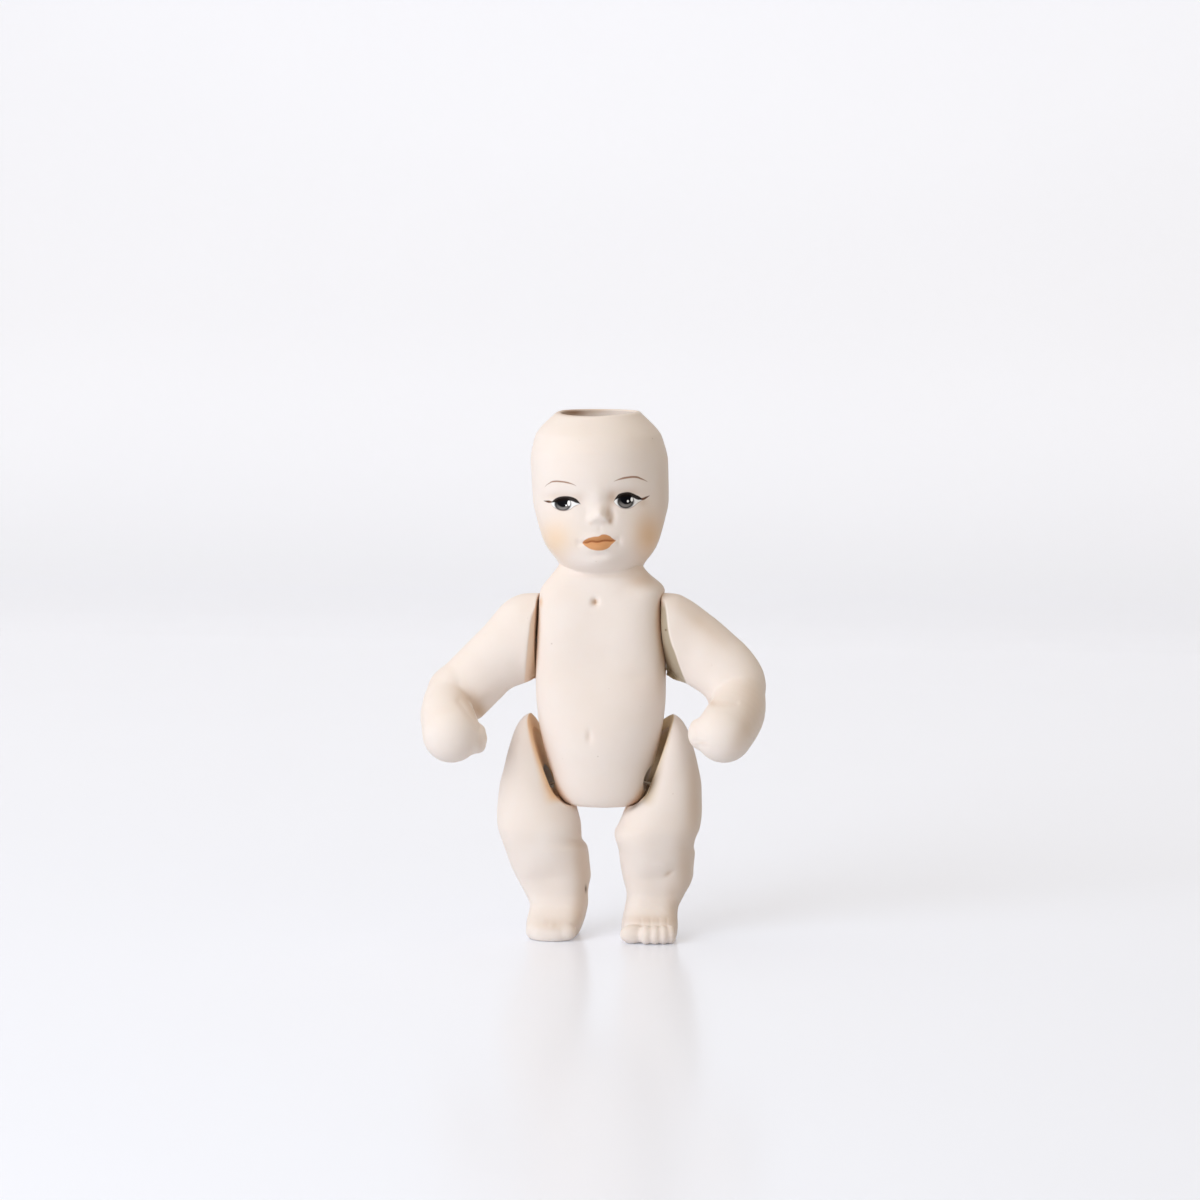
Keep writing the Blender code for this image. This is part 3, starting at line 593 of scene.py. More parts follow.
FACE_STROKES = [
    ([(582, 542.8), (591.7, 541.3), (598, 541.7), (606, 540.5), (615.7, 540.2)], 1.3, -0.3),
    ([(572, 571), (584, 574.5), (604, 576), (624, 573), (632, 569)], 2.2, -0.12),
    ([(594.5, 524), (600, 525.8), (606.5, 523.6)], 2.2, -0.1),
]
TORSO_DABS = [
    (595, 602, 3.3, 3.8, -1.25), (589, 736.5, 3.2, 6.5, -0.3), (628, 632, 22, 22, 0.3),
    (572, 630, 22, 22, 0.25), (600, 660, 30, 10, -0.15), (600, 738, 42, 36, 0.3), (628, 590, 14, 8, -0.3),
    (575, 590, 14, 8, -0.2), (640, 676, 14, 8, -0.2),
]


# Arms and legs

# A limb's shapes are fused and its cuts softened on grids of these sizes
FUSE_GRID = 0.00022
FINISH_GRID = 0.00018
FINISH_ROUNDS = 4
ARM_FUSE_ROUNDS = 18
LEG_FUSE_ROUNDS = 9
LOFT_SIDES = 72
LEG_SIDES = 96
LEG_RINGS = 160
CHAIN_BALLS = 14
# Cutters that end outside the doll reach this far
CUT_REACH = 0.02


def smooth_table(rows, count):
    """Rows of values filled in smoothly to a larger count."""
    stations = [i / (len(rows) - 1) for i in range(len(rows))]
    columns = [[(s, row[k]) for s, row in zip(stations, rows)] for k in range(len(rows[0]))]
    return [[follow(c, i / (count - 1)) for c in columns] for i in range(count)]


def view_loft(name, rows):
    """A loft over rings that show from one outline point to another.

    A row is (across, down) of both outline points, then the ring's middle and half depth in mm.
    """
    rings = []
    angles = ring_angles(LOFT_SIDES, 0)
    for x0, y0, x1, y1, deep, half in smooth_table(rows, 4 * len(rows)):
        first, second = spot(x0, y0, deep), spot(x1, y1, deep)
        middle, reach = (first + second) / 2, (first - second) / 2
        back = Vector((0, half * MM, 0))
        rings.append([middle + reach * math.cos(a) + back * math.sin(a) for a in angles])
    return mesh_of(name, rings)


def view_ball(name, across, down, y_mm, radius):
    """A ball at a place in the view, y in mm, and its radius in view units."""
    return ball(name, spot(across, down, y_mm), [radius * VIEW_UNIT] * 3)


def socket_of(seat, side):
    """The blind hole in a limb's seat."""
    ends = mirrored([seat.at(-OVERRUN, 0), seat.at(SOCKET_DEPTH, 0)], side)
    return rod("socket", SOCKET_RADIUS, *ends)


def shoulder_point(side):
    return Vector((side * SHOULDER.centre.x, BODY_BEHIND, SHOULDER.centre.z))


# The limbs' seats stand this much closer to the torso than the plain solids' running gap
SHOULDER_CLOSER = 0.00016
HIP_CLOSER = {"left": 0.00025, "right": 0.00015}

# The doll's right arm shows on the view's left, and its left arm on the right. "loft" is a table for
# view_loft, "forearm" and "fingers" are rows for view_ball, "ridge" and "hollow" go to hollow_out,
# and "creases" and "dabs" to sculpt.
ARMS = {
    "right": {
        "loft": [
            (548, 593, 546, 679, 3.3, 6.7), (536, 593, 536, 679, 3.3, 6.7),
            (524, 593.5, 533, 680, 3.2, 6.6), (513, 597, 531, 680.5, 3.1, 6.4),
            (503, 604, 529, 681.5, 3, 6.2), (495, 613, 526, 682.5, 2.8, 6),
            (484, 626, 522, 684, 2.4, 5.7), (474, 636, 516, 686, 2, 5.5), (465, 645, 509, 690, 1.6, 5.4),
            (455, 655, 502, 697, 1.2, 5.3), (446, 664, 494, 705, 0.8, 5.2), (437, 671, 487, 712, 0.4, 5),
            (430, 680, 479, 719, 0.1, 4.7), (427, 691, 467, 722, -0.2, 4.2),
            (429, 702, 456, 720, -0.4, 3.2), (434, 708, 446, 715, -0.5, 1.2),
        ],
        "forearm": [
            (456, 684, -0.4, 21), (450, 694, -1.3, 22.5), (447, 704, -2.9, 24.5), (447, 714, -5.4, 26.5),
            (449.5, 724, -8, 28), (451.5, 733.5, -10.3, 29),
        ],
        "fingers": [
            (471, 739, -9.5, 15.5), (477, 732, -9, 9), (478.3, 738.5, -9, 9.2), (477.5, 745, -8.8, 8.6),
        ],
        "hollow": 2.5,
        "ridge": [(604, 537), (618, 531), (635, 528.5), (650, 527), (677, 524.5), (690, 523)],
        "creases": [([(459, 701), (466, 710), (473, 719), (479, 728)], 3.2, -0.3)],
        "dabs": [(486, 705, 13, 7, -0.6, -42)],
    },
    "left": {
        "loft": [
            (656, 593, 656, 673, 3.3, 6.7), (667, 593, 667, 675, 3.3, 6.7),
            (677, 594, 674, 679.5, 3.2, 6.6), (686, 598, 679, 681, 3.1, 6.4),
            (695, 603.5, 683, 682, 3, 6.2), (705, 611, 687, 683.5, 2.8, 6),
            (715, 618.5, 691, 686, 2.4, 5.8), (725, 627, 695, 688.5, 2, 5.6),
            (735, 636, 699, 691, 1.6, 5.4), (744, 644, 703, 694, 1.2, 5.3),
            (752, 653, 706.5, 698, 0.8, 5.2), (759, 663, 708.5, 702, 0.4, 5.1),
            (764, 674, 709, 707, 0.1, 5), (766, 686, 711, 712, -0.2, 4.6),
            (764.5, 699, 716, 716, -0.4, 4), (759, 711, 724, 720, -0.5, 2.9),
            (750, 717, 735, 720.5, -0.5, 1.1),
        ],
        "forearm": [
            (745, 680, 0.5, 19), (742, 689, -0.6, 22.5), (740, 700, -2.2, 25.5), (737, 712, -4.8, 28),
            (731, 723, -7.6, 29), (724, 733.5, -10.2, 28.8),
        ],
        "fingers": [
            (705, 734, -10.2, 17), (699, 728, -9.8, 9.5), (698.5, 735, -9.8, 9.6), (703, 742, -9.4, 9.5),
        ],
        "hollow": 1.5,
        "ridge": [
            (600, 665), (615, 667), (630, 668.7), (643, 671.7), (653, 675.5), (665, 679.5), (678, 684.5),
            (690, 690),
        ],
        "creases": [
            ([(708, 702), (716, 703.5), (726, 704), (736, 703)], 3.2, -0.22),
            ([(696, 741), (702, 741.6), (707, 741.5)], 1.4, -0.09),
            ([(697, 746), (703, 746.5), (708, 746.2)], 1.4, -0.08),
        ],
        "dabs": [],
    },
}
# The hollow of an arm's front beside the torso: its ends in the view and how far they fade, how far
# in from the ridge it deepens, and the world y that it stops at
HOLLOW_TOP = 596
HOLLOW_FOOT = 694
HOLLOW_TOP_FADE = 8
HOLLOW_FOOT_FADE = 12
HOLLOW_WIDTH = 20
HOLLOW_LIMIT = 0.0045


def hollow_out(made, side, ridge, slope):
    """Pushes back the front of an arm between the torso and a ridge, given by height in the view."""
    points, normals = arrays(made.data)
    across, down = seen(points)
    heights = np.linspace(HOLLOW_TOP - 1, HOLLOW_FOOT + 1, 101)
    edge = np.interp(down, heights, [follow(ridge, h) for h in heights])
    inside = np.clip((edge - across) * side, 0, HOLLOW_WIDTH) * VIEW_UNIT
    facing = np.clip((normals @ np.array(VIEW_BACK)) * 3, 0, 1)
    top = np.clip((down - HOLLOW_TOP) / HOLLOW_TOP_FADE, 0, 1)
    foot = np.clip((HOLLOW_FOOT - down) / HOLLOW_FOOT_FADE, 0, 1)
    push = inside * slope * facing * top * foot
    points[:, 1] += np.minimum(push, np.maximum(HOLLOW_LIMIT - points[:, 1], 0))
    put_points(made, points)


def make_arm(side, side_name):
    look = ARMS[side_name]
    parts = [view_loft("upper_arm", look["loft"])]
    parts += [view_ball("forearm", *row) for row in smooth_table(look["forearm"], CHAIN_BALLS)]
    parts += [view_ball("finger", *row) for row in look["fingers"]]
    made = piece(f"bisque_arm_{side_name}", join("arm", parts))
    round_off(made, FUSE_GRID, ARM_FUSE_ROUNDS)
    far, near = CUT_REACH, CUT_REACH / 2
    corners = [SHOULDER.at(*c) for c in ((0, far), (0, -far), (-near, -far), (-near, far))]
    sheets = [mirrored([c + Vector((0, y, 0)) for c in corners], side) for y in (-far, far)]
    knife, socket = mesh_of("seat", sheets), socket_of(SHOULDER, side)
    centre = shoulder_point(side)
    knife.transform(Matrix.Translation(centre - Vector((side * SHOULDER_CLOSER, 0, 0))))
    socket.transform(Matrix.Translation(centre))
    cut(made, [knife, socket])
    hollow_out(made, side, look["ridge"], look["hollow"])
    round_off(made, FINISH_GRID, FINISH_ROUNDS)
    sculpt(made, look["dabs"], look["creases"])
    return made


# How far each leg's outline stands out from the plain solid, in view units by height in the view,
# with the rounds that soften the seat's front edge, the toes' grooves in mm and the dish's depth
LEG_GROWTH = {
    "left": {
        "soft_edge": 0,
        "groove": -0.08,
        "dish": 0.0012,
        "outer": [
            (828, 0), (836, -1), (844, -1), (852, 2), (860, 3), (868, 4.5), (876, 7), (884, 7.5),
            (892, 6), (900, 5), (908, 3), (916, 1.5), (945, 1),
        ],
        "inner": [
            (806, 0), (820, 1.5), (829, 4), (836, 2.5), (842, 0), (852, -3), (868, -4), (880, -5),
            (896, -6.5), (905, -5.5), (915, -3), (930, 0), (945, 0),
        ],
        "dabs": [
            (652, 860, 17, 11, 0.35), (670, 873.5, 5, 2.2, -0.22, -35), (656, 879, 16, 7, -0.22),
            (664, 865, 8, 6, 0.25), (648, 907, 22, 4.5, -0.2), (640, 846, 14, 16, 0.2),
        ],
    },
    "right": {
        "soft_edge": 160,
        "groove": -0.03,
        "dish": 0.0004,
        "outer": [
            (770, 0), (796, 2.5), (812, 3.5), (832, 5), (844, 4), (856, 3), (868, 2), (884, 0),
            (905, -2.5), (920, -2), (932, -4.5), (945, -5),
        ],
        "inner": [
            (806, 0), (820, -0.5), (828, -2), (836, -3.6), (839.5, -2.5), (844, 1), (852, 2), (860, 3),
            (868, 4.5), (876, 6), (884, 5.5), (900, 5.5), (908, 4.5), (916, 3), (924, 1), (932, -1),
            (945, -3),
        ],
        "dabs": [
            (540, 859, 19, 13, 0.35), (550, 880, 18, 8, -0.25), (528, 872, 9, 8, 0.15),
            (555, 906, 20, 4.5, -0.18), (575, 840, 5, 4, -0.3),
        ],
    },
}
# How square a leg's rings are, from the sole (0) to the thigh's top (1)
LEG_EDGES = [(0, 2.9), (0.111, 2.7), (0.254, 2.5), (0.45, 2.3), (0.6, 2.1), (1, 2)]
# The thigh's back stands up to the top, fuller than in the plain solid
THIGH_BACK = [(0, 0), (0.8, 0), (0.872, 0.05), (0.932, 0.07), (0.973, 0.05), (0.991, 0.02), (1, 0)]
# Lower end of the seat, out and up from the seat's centre: it follows the torso's base, and rises
# toward the front from one place to another
SEAT_FOOT = [
    (-0.0012, -0.0034), (-0.0028, -0.0051), (-0.00375, -0.00555), (-0.00595, -0.00565), (-0.04, -0.00565),
]
SEAT_FOOT_RISE = 0.001
SEAT_FOOT_FROM = 0.001
SEAT_FOOT_TO = 0.0075
SEAT_STATIONS = (-0.0075, -0.006, -0.0045, -0.003, -0.0015)
# The seat is dished this far above its centre, and the dish has these half sizes
DISH_ABOVE = 0.0022
DISH_HALF_DEPTH = 0.0056
DISH_HALF_HEIGHT = 0.0082
# The left seat's (side 1) upper back rim leans in, as a cup, and both rims stand lower
RIM_LEAN = {1: 0.0016, -1: 0.0}
RIM_DROP = {1: 0.0016, -1: 0.0005}
# Where the rim leans and where the front edge is softened: mm back, up and out, from none to full
RIM_BACK, RIM_UP, RIM_OUT = (0.5, 5.5), (0, 7.5), (0.5, 5)
EDGE_BACK, EDGE_UP, EDGE_OUT = (-3.0, -0.5), (-7, -4), (1.2, 4.0)
EDGE_LEVELS = 10
# Toes from the big one out: across in the view, half width in its units, and world y in mm
TOES = {
    "left": [
        (632.5, 9.3, -3.7), (645.8, 5.2, -4.2), (654.8, 4.9, -4), (663.2, 4.6, -3.6), (670.5, 4.2, -2.9),
    ],
    "right": [
        (564.5, 9, -3.2), (552.8, 5.4, -3.6), (544.3, 5, -3.4), (536.9, 4.7, -2.9), (531.5, 4, -2.1),
    ],
}
TOE_LINE = 932
TOE_WIDER = 1.38
TOE_HALF_LENGTH = 0.0018
TOE_HALF_HEIGHT = 0.0019
TOE_HEIGHT = 0.0018
GROOVE_DOWNS = (919, 922, 926)
GROOVE_HALF = 1.4
LEG_HEIGHT = HIP_HEIGHT + THIGH_ABOVE_HIP
SOLE_CUT_HALF = 0.05
SOLE_CUT_DEPTH = 0.01


def hip_frame(side, place):
    """The turned seat's centre, and its directions out, up and back."""
    centre = place @ mirrored([HIP.at(0, 0)], side)[0]
    turn = place.to_3x3()
    return [centre] + [turn @ v for v in (*mirrored([HIP.axis, HIP.up], side), Vector((0, 1, 0)))]


def lean_rim(made, side, place, soft_edge):
    """Leans the seat's upper back rim in as a cup, and softens its front edge by some rounds."""
    centre, out, up, back = hip_frame(side, place)
    points, _ = arrays(made.data)
    away = points - np.array(centre)
    d, h, t = (away @ np.array(v) * 1000 for v in (out, up, back))
    amount = ease(t, *RIM_BACK) * ease(h, *RIM_UP) * (1 - ease(d, *RIM_OUT))
    inward = np.array(out) * (amount * RIM_LEAN[side])[:, None]
    points -= inward + np.array(up) * (amount * RIM_DROP[side])[:, None]
    put_points(made, points)
    if soft_edge:
        weight = (1 - ease(d, *EDGE_OUT)) * (1 - ease(t, *EDGE_BACK)) * ease(h, *EDGE_UP)
        group = made.vertex_groups.new(name="front_edge")
        for step in range(1, EDGE_LEVELS + 1):
            members = np.flatnonzero(np.round(weight * EDGE_LEVELS) == step)
            group.add(members.tolist(), step / EDGE_LEVELS, "REPLACE")
        soft = made.modifiers.new("soften", "SMOOTH")
        soft.factor, soft.iterations, soft.vertex_group = 0.5, soft_edge, group.name
        settle(made)


def hip_place(side, turn):
    """Where a leg hangs, turned out about its pivot."""
    pivot = Vector((side * HIP.pivot.x, BODY_BEHIND, HIP.pivot.z))
    return Matrix.Translation(pivot) @ Matrix.Rotation(side * turn, 4, "Z")


def leg_mesh(side, look, place):
    """The plain leg, grown where the photograph shows more and slimmed where it shows less."""
    rings = []
    for share in [i / LEG_RINGS for i in range(LEG_RINGS)] + [0.9955, 0.9975, 0.999, 1]:
        height = LEG_HEIGHT * share
        out = LEG_WIDTH * follow(LEG_OUTER_SHARES, share)
        middle = Vector((HIP.centre.x + out / 2, 0, height)) - HIP.pivot
        down = seen([place @ mirrored([middle], side)[0]])[1][0]
        outer = HIP.centre.x + out + follow(look["outer"], down) * VIEW_UNIT
        inner = HIP.centre.x + LEG_WIDTH * follow(LEG_INNER_SHARES, share)
        inner -= follow(look["inner"], down) * VIEW_UNIT
        front = LEG_FRONT * follow(LEG_FRONT_SHARES, share)
        back = LEG_BACK * (follow(LEG_BACK_SHARES, share) + follow(THIGH_BACK, share))
        half, shift = (front + back) / 2, (back - front) / 2
        flat = oval(ring_angles(LEG_SIDES, 0), inner, outer, half, half, follow(LEG_EDGES, share))
        ring = [Vector((x, y + shift, height)) - HIP.pivot for x, y in flat]
        rings.append(mirrored(ring, side))
    leg = mesh_of("leg", rings)
    leg.transform(place)
    return leg


def seat_knife(side, side_name):
    """Cuts the leg along its seat and, below that, along the torso's base."""
    closer = HIP.axis * -HIP_CLOSER[side_name]
    sections = []
    for y in (-CUT_REACH, *SEAT_STATIONS, CUT_REACH):
        rise = SEAT_FOOT_RISE * float(ease(-y, SEAT_FOOT_FROM, SEAT_FOOT_TO))
        outline = [HIP.at(0, LEG_HEIGHT)]
        outline += [HIP.centre - HIP.pivot + Vector((x, 0, z + rise)) for x, z in SEAT_FOOT]
        outline.append(HIP.at(-LEG_HEIGHT, LEG_HEIGHT))
        sections.append(mirrored([p + closer + Vector((0, y, 0)) for p in outline], side))
    return mesh_of("seat", sections)


def sole_knife():
    """Cuts the foot level with the floor."""
    wide = SOLE_CUT_HALF
    corners = ((-wide, -wide), (wide, -wide), (wide, wide), (-wide, wide))
    levels = (-SOLE_CUT_DEPTH, 0)
    return mesh_of("sole", [[Vector((x, y, z)) - HIP.pivot for x, y in corners] for z in levels])


def toe_grooves(toes, rise):
    """Strokes between neighbouring toes."""
    way = 1 if toes[1][0] > toes[0][0] else -1
    grooves = []
    for (x0, half0, _), (x1, half1, _) in zip(toes, toes[1:]):
        x = (x0 + half0 * way + x1 - half1 * way) / 2
        grooves.append(([(x, down) for down in GROOVE_DOWNS], GROOVE_HALF, rise))
    return grooves


def make_leg(side, side_name, place):
    look, toes = LEG_GROWTH[side_name], TOES[side_name]
    parts = [leg_mesh(side, look, place)]
    turned = place.to_3x3().to_4x4()
    for across, half, deep in toes:
        middle = spot(across, TOE_LINE, deep)
        middle.z = TOE_HEIGHT
        radii = [half * VIEW_UNIT * TOE_WIDER, TOE_HALF_LENGTH, TOE_HALF_HEIGHT]
        parts.append(ball("toe", middle, radii, turned))
    made = piece(f"bisque_leg_{side_name}", join("leg", parts))
    round_off(made, FUSE_GRID, LEG_FUSE_ROUNDS)
    middle = mirrored([HIP.at(0, DISH_ABOVE)], side)[0]
    lean = Matrix.Rotation(side * HIP_TILT, 4, "Y")
    dish = ball("dish", middle, [look["dish"], DISH_HALF_DEPTH, DISH_HALF_HEIGHT], lean)
    cutters = [seat_knife(side, side_name), socket_of(HIP, side), sole_knife()]
    for mesh in (dish, *cutters):
        mesh.transform(place)
    cut(made, [dish])
    cut(made, cutters)
    round_off(made, FINISH_GRID, FINISH_ROUNDS)
    lean_rim(made, side, place, look["soft_edge"])
    sculpt(made, look["dabs"], toe_grooves(toes, look["groove"]))
    points, _ = arrays(made.data)
    points[:, 2] = points[:, 2].clip(0.0)
    put_points(made, points)
    return made


# Materials

def feed(tree, value, socket):
    """Links a number or an output to an input, or sets a plain value or colour there."""
    if isinstance(value, Num):
        value = value.out
    if isinstance(value, bpy.types.NodeSocket):
        tree.links.new(value, socket)
    else:
        socket.default_value = (*value, 1) if socket.type == "RGBA" else value


def set_inputs(node, **values):
    """Sets inputs by name, with an underscore for each space."""
    for name, value in values.items():
        node.inputs[name.replace("_", " ")].default_value = value
    return node


class Num:
    """A shader number that can be added, scaled and compared."""

    def __init__(self, tree, out):
        self.tree, self.out = tree, out

    def through(self, node, others):
        """The result of a node for this number and others."""
        for socket, value in zip(node.inputs, (self, *others)):
            feed(self.tree, value, socket)
        return Num(self.tree, node.outputs[0])

    def math(self, what, *others):
        node = self.tree.nodes.new("ShaderNodeMath")
        node.operation = what
        return self.through(node, others)

    def __add__(self, other):
        return self.math("ADD", other)

    def __sub__(self, other):
        return self.math("SUBTRACT", other)

    def __mul__(self, other):
        return self.math("MULTIPLY", other)

    def __truediv__(self, other):
        return self.math("DIVIDE", other)

    def size(self):
        return self.math("ABSOLUTE")

    def least(self, other):
        return self.math("MINIMUM", other)

    def most(self, other):
        return self.math("MAXIMUM", other)

    def ramp(self, low, high, to_low=0, to_high=1):
        """Runs smoothly from one value to another between two of this number's."""
        node = self.tree.nodes.new("ShaderNodeMapRange")
        node.interpolation_type = "SMOOTHSTEP"
        return self.through(node, (low, high, to_low, to_high))

    def along(self, points):
        """The height of a smooth curve through points, for this number across."""
        (x0, _), (x1, _) = points[0], points[-1]
        y0 = min(y for _, y in points) - 1
        y1 = max(y for _, y in points) + 1
        node = self.tree.nodes.new("ShaderNodeFloatCurve")
        line = node.mapping.curves[0]
        spots = [((x - x0) / (x1 - x0), (y - y0) / (y1 - y0)) for x, y in points]
        while len(line.points) < len(spots):
            line.points.new(0.5, 0.5)
        for target, spot in zip(line.points, spots):
            target.location = spot
        node.mapping.update()
        self.tree.links.new(((self - x0) / (x1 - x0)).out, node.inputs["Value"])
        return Num(self.tree, node.outputs[0]) * (y1 - y0) + y0


def vector_math(tree, what, first, second):
    node = tree.nodes.new("ShaderNodeVectorMath")
    node.operation = what
    feed(tree, first, node.inputs[0])
    feed(tree, second, node.inputs[1])
    return node.outputs


def dot(tree, vector, way):
    return Num(tree, vector_math(tree, "DOT_PRODUCT", vector, way)["Value"])


def place_of(tree):
    return tree.nodes.new("ShaderNodeTexCoord").outputs["Object"]


def seen_in_shader(tree):
    """Across and down in the photograph's view, from a point's place on the doll at rest."""
    away = vector_math(tree, "SUBTRACT", place_of(tree), EYE_POINT)[0]
    depth = dot(tree, away, -VIEW_BACK)
    across = dot(tree, away, VIEW_RIGHT) / depth * FOCUS + HALF_FRAME
    down = dot(tree, away, VIEW_UP) / depth * -FOCUS + HALF_FRAME
    return across, down


def noise(tree, size_mm, detail=4, roughness=0.55, offset=0):
    """Cloudy noise from 0 to 1 with features about this many millimetres across."""
    node = tree.nodes.new("ShaderNodeTexNoise")
    set_inputs(node, Scale=1000 / size_mm, Detail=detail, Roughness=roughness)
    shift = (offset, offset * 0.7, -offset)
    feed(tree, vector_math(tree, "ADD", place_of(tree), shift)[0], node.inputs["Vector"])
    return Num(tree, node.outputs["Fac"])


def blend(tree, first, second, amount):
    """One colour over another by an amount."""
    node = tree.nodes.new("ShaderNodeMix")
    node.data_type = "RGBA"
    for k, value in ((0, amount), (6, first), (7, second)):
        feed(tree, value, node.inputs[k])
    return node.outputs[2]


def relief(tree, shader, height, distance, strength=1):
    """Bumps on the surface by a height."""
    bump = tree.nodes.new("ShaderNodeBump")
    set_inputs(bump, Distance=distance, Strength=strength)
    feed(tree, height, bump.inputs["Height"])
    feed(tree, bump.outputs[0], shader.inputs["Normal"])


def shape(across, down, upper, lower, soft=0.6):
    """1 between an upper and a lower outline, softly 0 outside."""
    x0, x1 = upper[0][0], upper[-1][0]
    inside = (down - across.along(upper)).ramp(-soft, soft)
    inside = inside * (across.along(lower) - down).ramp(-soft, soft)
    return inside * across.ramp(x0 - soft, x0 + soft) * across.ramp(x1 - soft, x1 + soft, 1, 0)


def stroke(across, down, points, thick, ends, soft=0.5, thin=0.15):
    """A painted line that thins at both ends."""
    x0, x1 = points[0][0], points[-1][0]
    half = across.ramp(x0 - 1, x0 + ends, thin, thick / 2)
    half = half.least(across.ramp(x1 - ends, x1 + 1, thick / 2, thin))
    gap = (down - across.along(points)).size() - half
    line = gap.ramp(-soft, soft, 1, 0)
    return line * across.ramp(x0 - 1, x0 + 1) * across.ramp(x1 - 1, x1 + 1, 1, 0)


def disc(across, down, x, y, wide, high, soft=0.12):
    """1 inside an ellipse."""
    u, v = (across - x) / wide, (down - y) / high
    return (u * u + v * v).math("SQRT").ramp(1 - soft, 1 + soft, 1, 0)


def washes(tree, colour, across, down, spots, front):
    """Thin soft washes of real blush or painted shade: across, down, half width, half height, amount,
    colour and lean in degrees.
    """
    for x, y, wide, high, amount, tone, *lean in spots:
        u, v = leaned(across, down, x, y, *lean)
        u, v = u / wide, v / high
        glow = ((u * u + v * v) * -1).math("EXPONENT")
        colour = blend(tree, colour, tone, glow * front * amount)
    return colour


def faces(tree, way):
    """How squarely the surface faces a direction on the doll at rest."""
    return dot(tree, tree.nodes.new("ShaderNodeTexCoord").outputs["Normal"], way)


def new_material(name):
    made = bpy.data.materials.new(name)
    made.use_nodes = True
    return made, made.node_tree, made.node_tree.nodes["Principled BSDF"]


BISQUE_LIGHT = (0.90, 0.815, 0.755)
BISQUE_DEEP = (0.87, 0.755, 0.67)
SEAM_SHADE_BROWN = (0.66, 0.36, 0.15)
GRAIN = (0.9, 0.83, 0.78)
SPECK = (0.42, 0.31, 0.25)
# Painted shade: seams are darkened with a warm brown where the surface closes in within this distance,
# between the soles and the face
CREASE_DISTANCE = 0.0026
CREASE_SAMPLES = 6


def bisque(name, paint):
    """Unglazed porcelain: cloudy, grained and specked, with painted shade in its seams, and painted."""
    made, tree, shader = new_material(name)
    cloud = noise(tree, 9, 3, 0.5).ramp(0.35, 0.7)
    colour = blend(tree, BISQUE_LIGHT, BISQUE_DEEP, cloud * 0.35)
    grain = noise(tree, 0.6, 3, 0.6, 3.1)
    colour = blend(tree, colour, GRAIN, grain.ramp(0.55, 0.8) * 0.35)
    speck = noise(tree, 1.3, 1, 0.4, 7.7).ramp(0.81, 0.825)
    colour = blend(tree, colour, SPECK, speck * 0.3)
    # Painted shade: a warm brown darkens the seams where the surface closes in
    crease = tree.nodes.new("ShaderNodeAmbientOcclusion")
    crease.samples = CREASE_SAMPLES
    set_inputs(crease, Distance=CREASE_DISTANCE)
    seam_shade = Num(tree, crease.outputs["AO"]).ramp(0.2, 0.8, 1, 0)
    height_mm = dot(tree, place_of(tree), (0, 0, 1000))
    seam_shade = seam_shade * height_mm.ramp(8, 16) * height_mm.ramp(70, 66.5)
    colour = blend(tree, colour, SEAM_SHADE_BROWN, seam_shade * 0.45)
    colour, rough = paint(tree, colour, grain * 0.12 + 0.52)
    feed(tree, colour, shader.inputs["Base Color"])
    feed(tree, rough, shader.inputs["Roughness"])
    set_inputs(
        shader, Specular_IOR_Level=0.03, Subsurface_Weight=0.05,
        Subsurface_Radius=(1.0, 0.55, 0.35), Subsurface_Scale=0.0008,
    )
    height = grain * 0.5 + noise(tree, 0.25, 2, 0.6, 5.5) * 0.3 + noise(tree, 3.0, 2, 0.5, 9.1)
    relief(tree, shader, height, 0.00004, 0.5)
    return made


# Paints of the eyes, brows and lips
LASH = (0.009, 0.005, 0.004)
FLICK = (0.13, 0.055, 0.03)
BROW = (0.30, 0.135, 0.06)
EYE_WHITE = (0.93, 0.92, 0.92)
IRIS_EDGE = (0.03, 0.03, 0.032)
IRIS_TOP = (0.012, 0.012, 0.013)
IRIS_BASE = (0.26, 0.245, 0.235)
PUPIL = (0.004, 0.004, 0.006)
LIGHT = (1, 1, 1)
EYE_RIM = (0.36, 0.22, 0.17)
UPPER_LIP = (0.60, 0.25, 0.075)
LOWER_LIP = (0.70, 0.32, 0.115)
LIP_SEAM = (0.36, 0.115, 0.03)
IRIS_EDGE_WIDTH = 1.5
# The doll's right eye, then its left one: lines across and down, discs with half width and height
EYES = [
    {
        "lid": [
            (551.5, 502.2), (556, 500.2), (560.8, 498.6), (566, 498.2), (570, 498.6), (575, 500.3),
            (580.5, 504),
        ],
        "flick": [(543.8, 500.8), (548, 501.6), (553.5, 502)],
        "lower": [(551.5, 504.4), (556, 508.6), (563, 510.8), (569, 509.8), (574, 506.6), (579.5, 504.2)],
        "iris": (562.8, 503.9, 8.3, 7.4),
        "pupil": (563, 501.4, 5.9, 5.7),
        "lights": [(568.9, 503.2, 1.5, 2.7), (566.2, 505.4, 0.9, 0.8)],
    },
    {
        "lid": [
            (614, 501), (617, 497.4), (620, 495.6), (624, 494.5), (628.3, 494.2), (633, 495.5),
            (637, 497.4), (642.5, 499),
        ],
        "flick": [(638, 498.3), (642.5, 499), (646, 497.6), (649.6, 495.6)],
        "lower": [
            (614, 502), (617.3, 505.6), (622, 508.2), (628, 508.6), (633.5, 506.4), (638, 502.8),
            (642.5, 500.2),
        ],
        "iris": (625.6, 501.2, 8.4, 7.4),
        "pupil": (626.4, 498.6, 5.9, 5.7),
        "lights": [(631.8, 499.4, 1.2, 2.2), (627.9, 501.2, 1, 1.2)],
    },
]
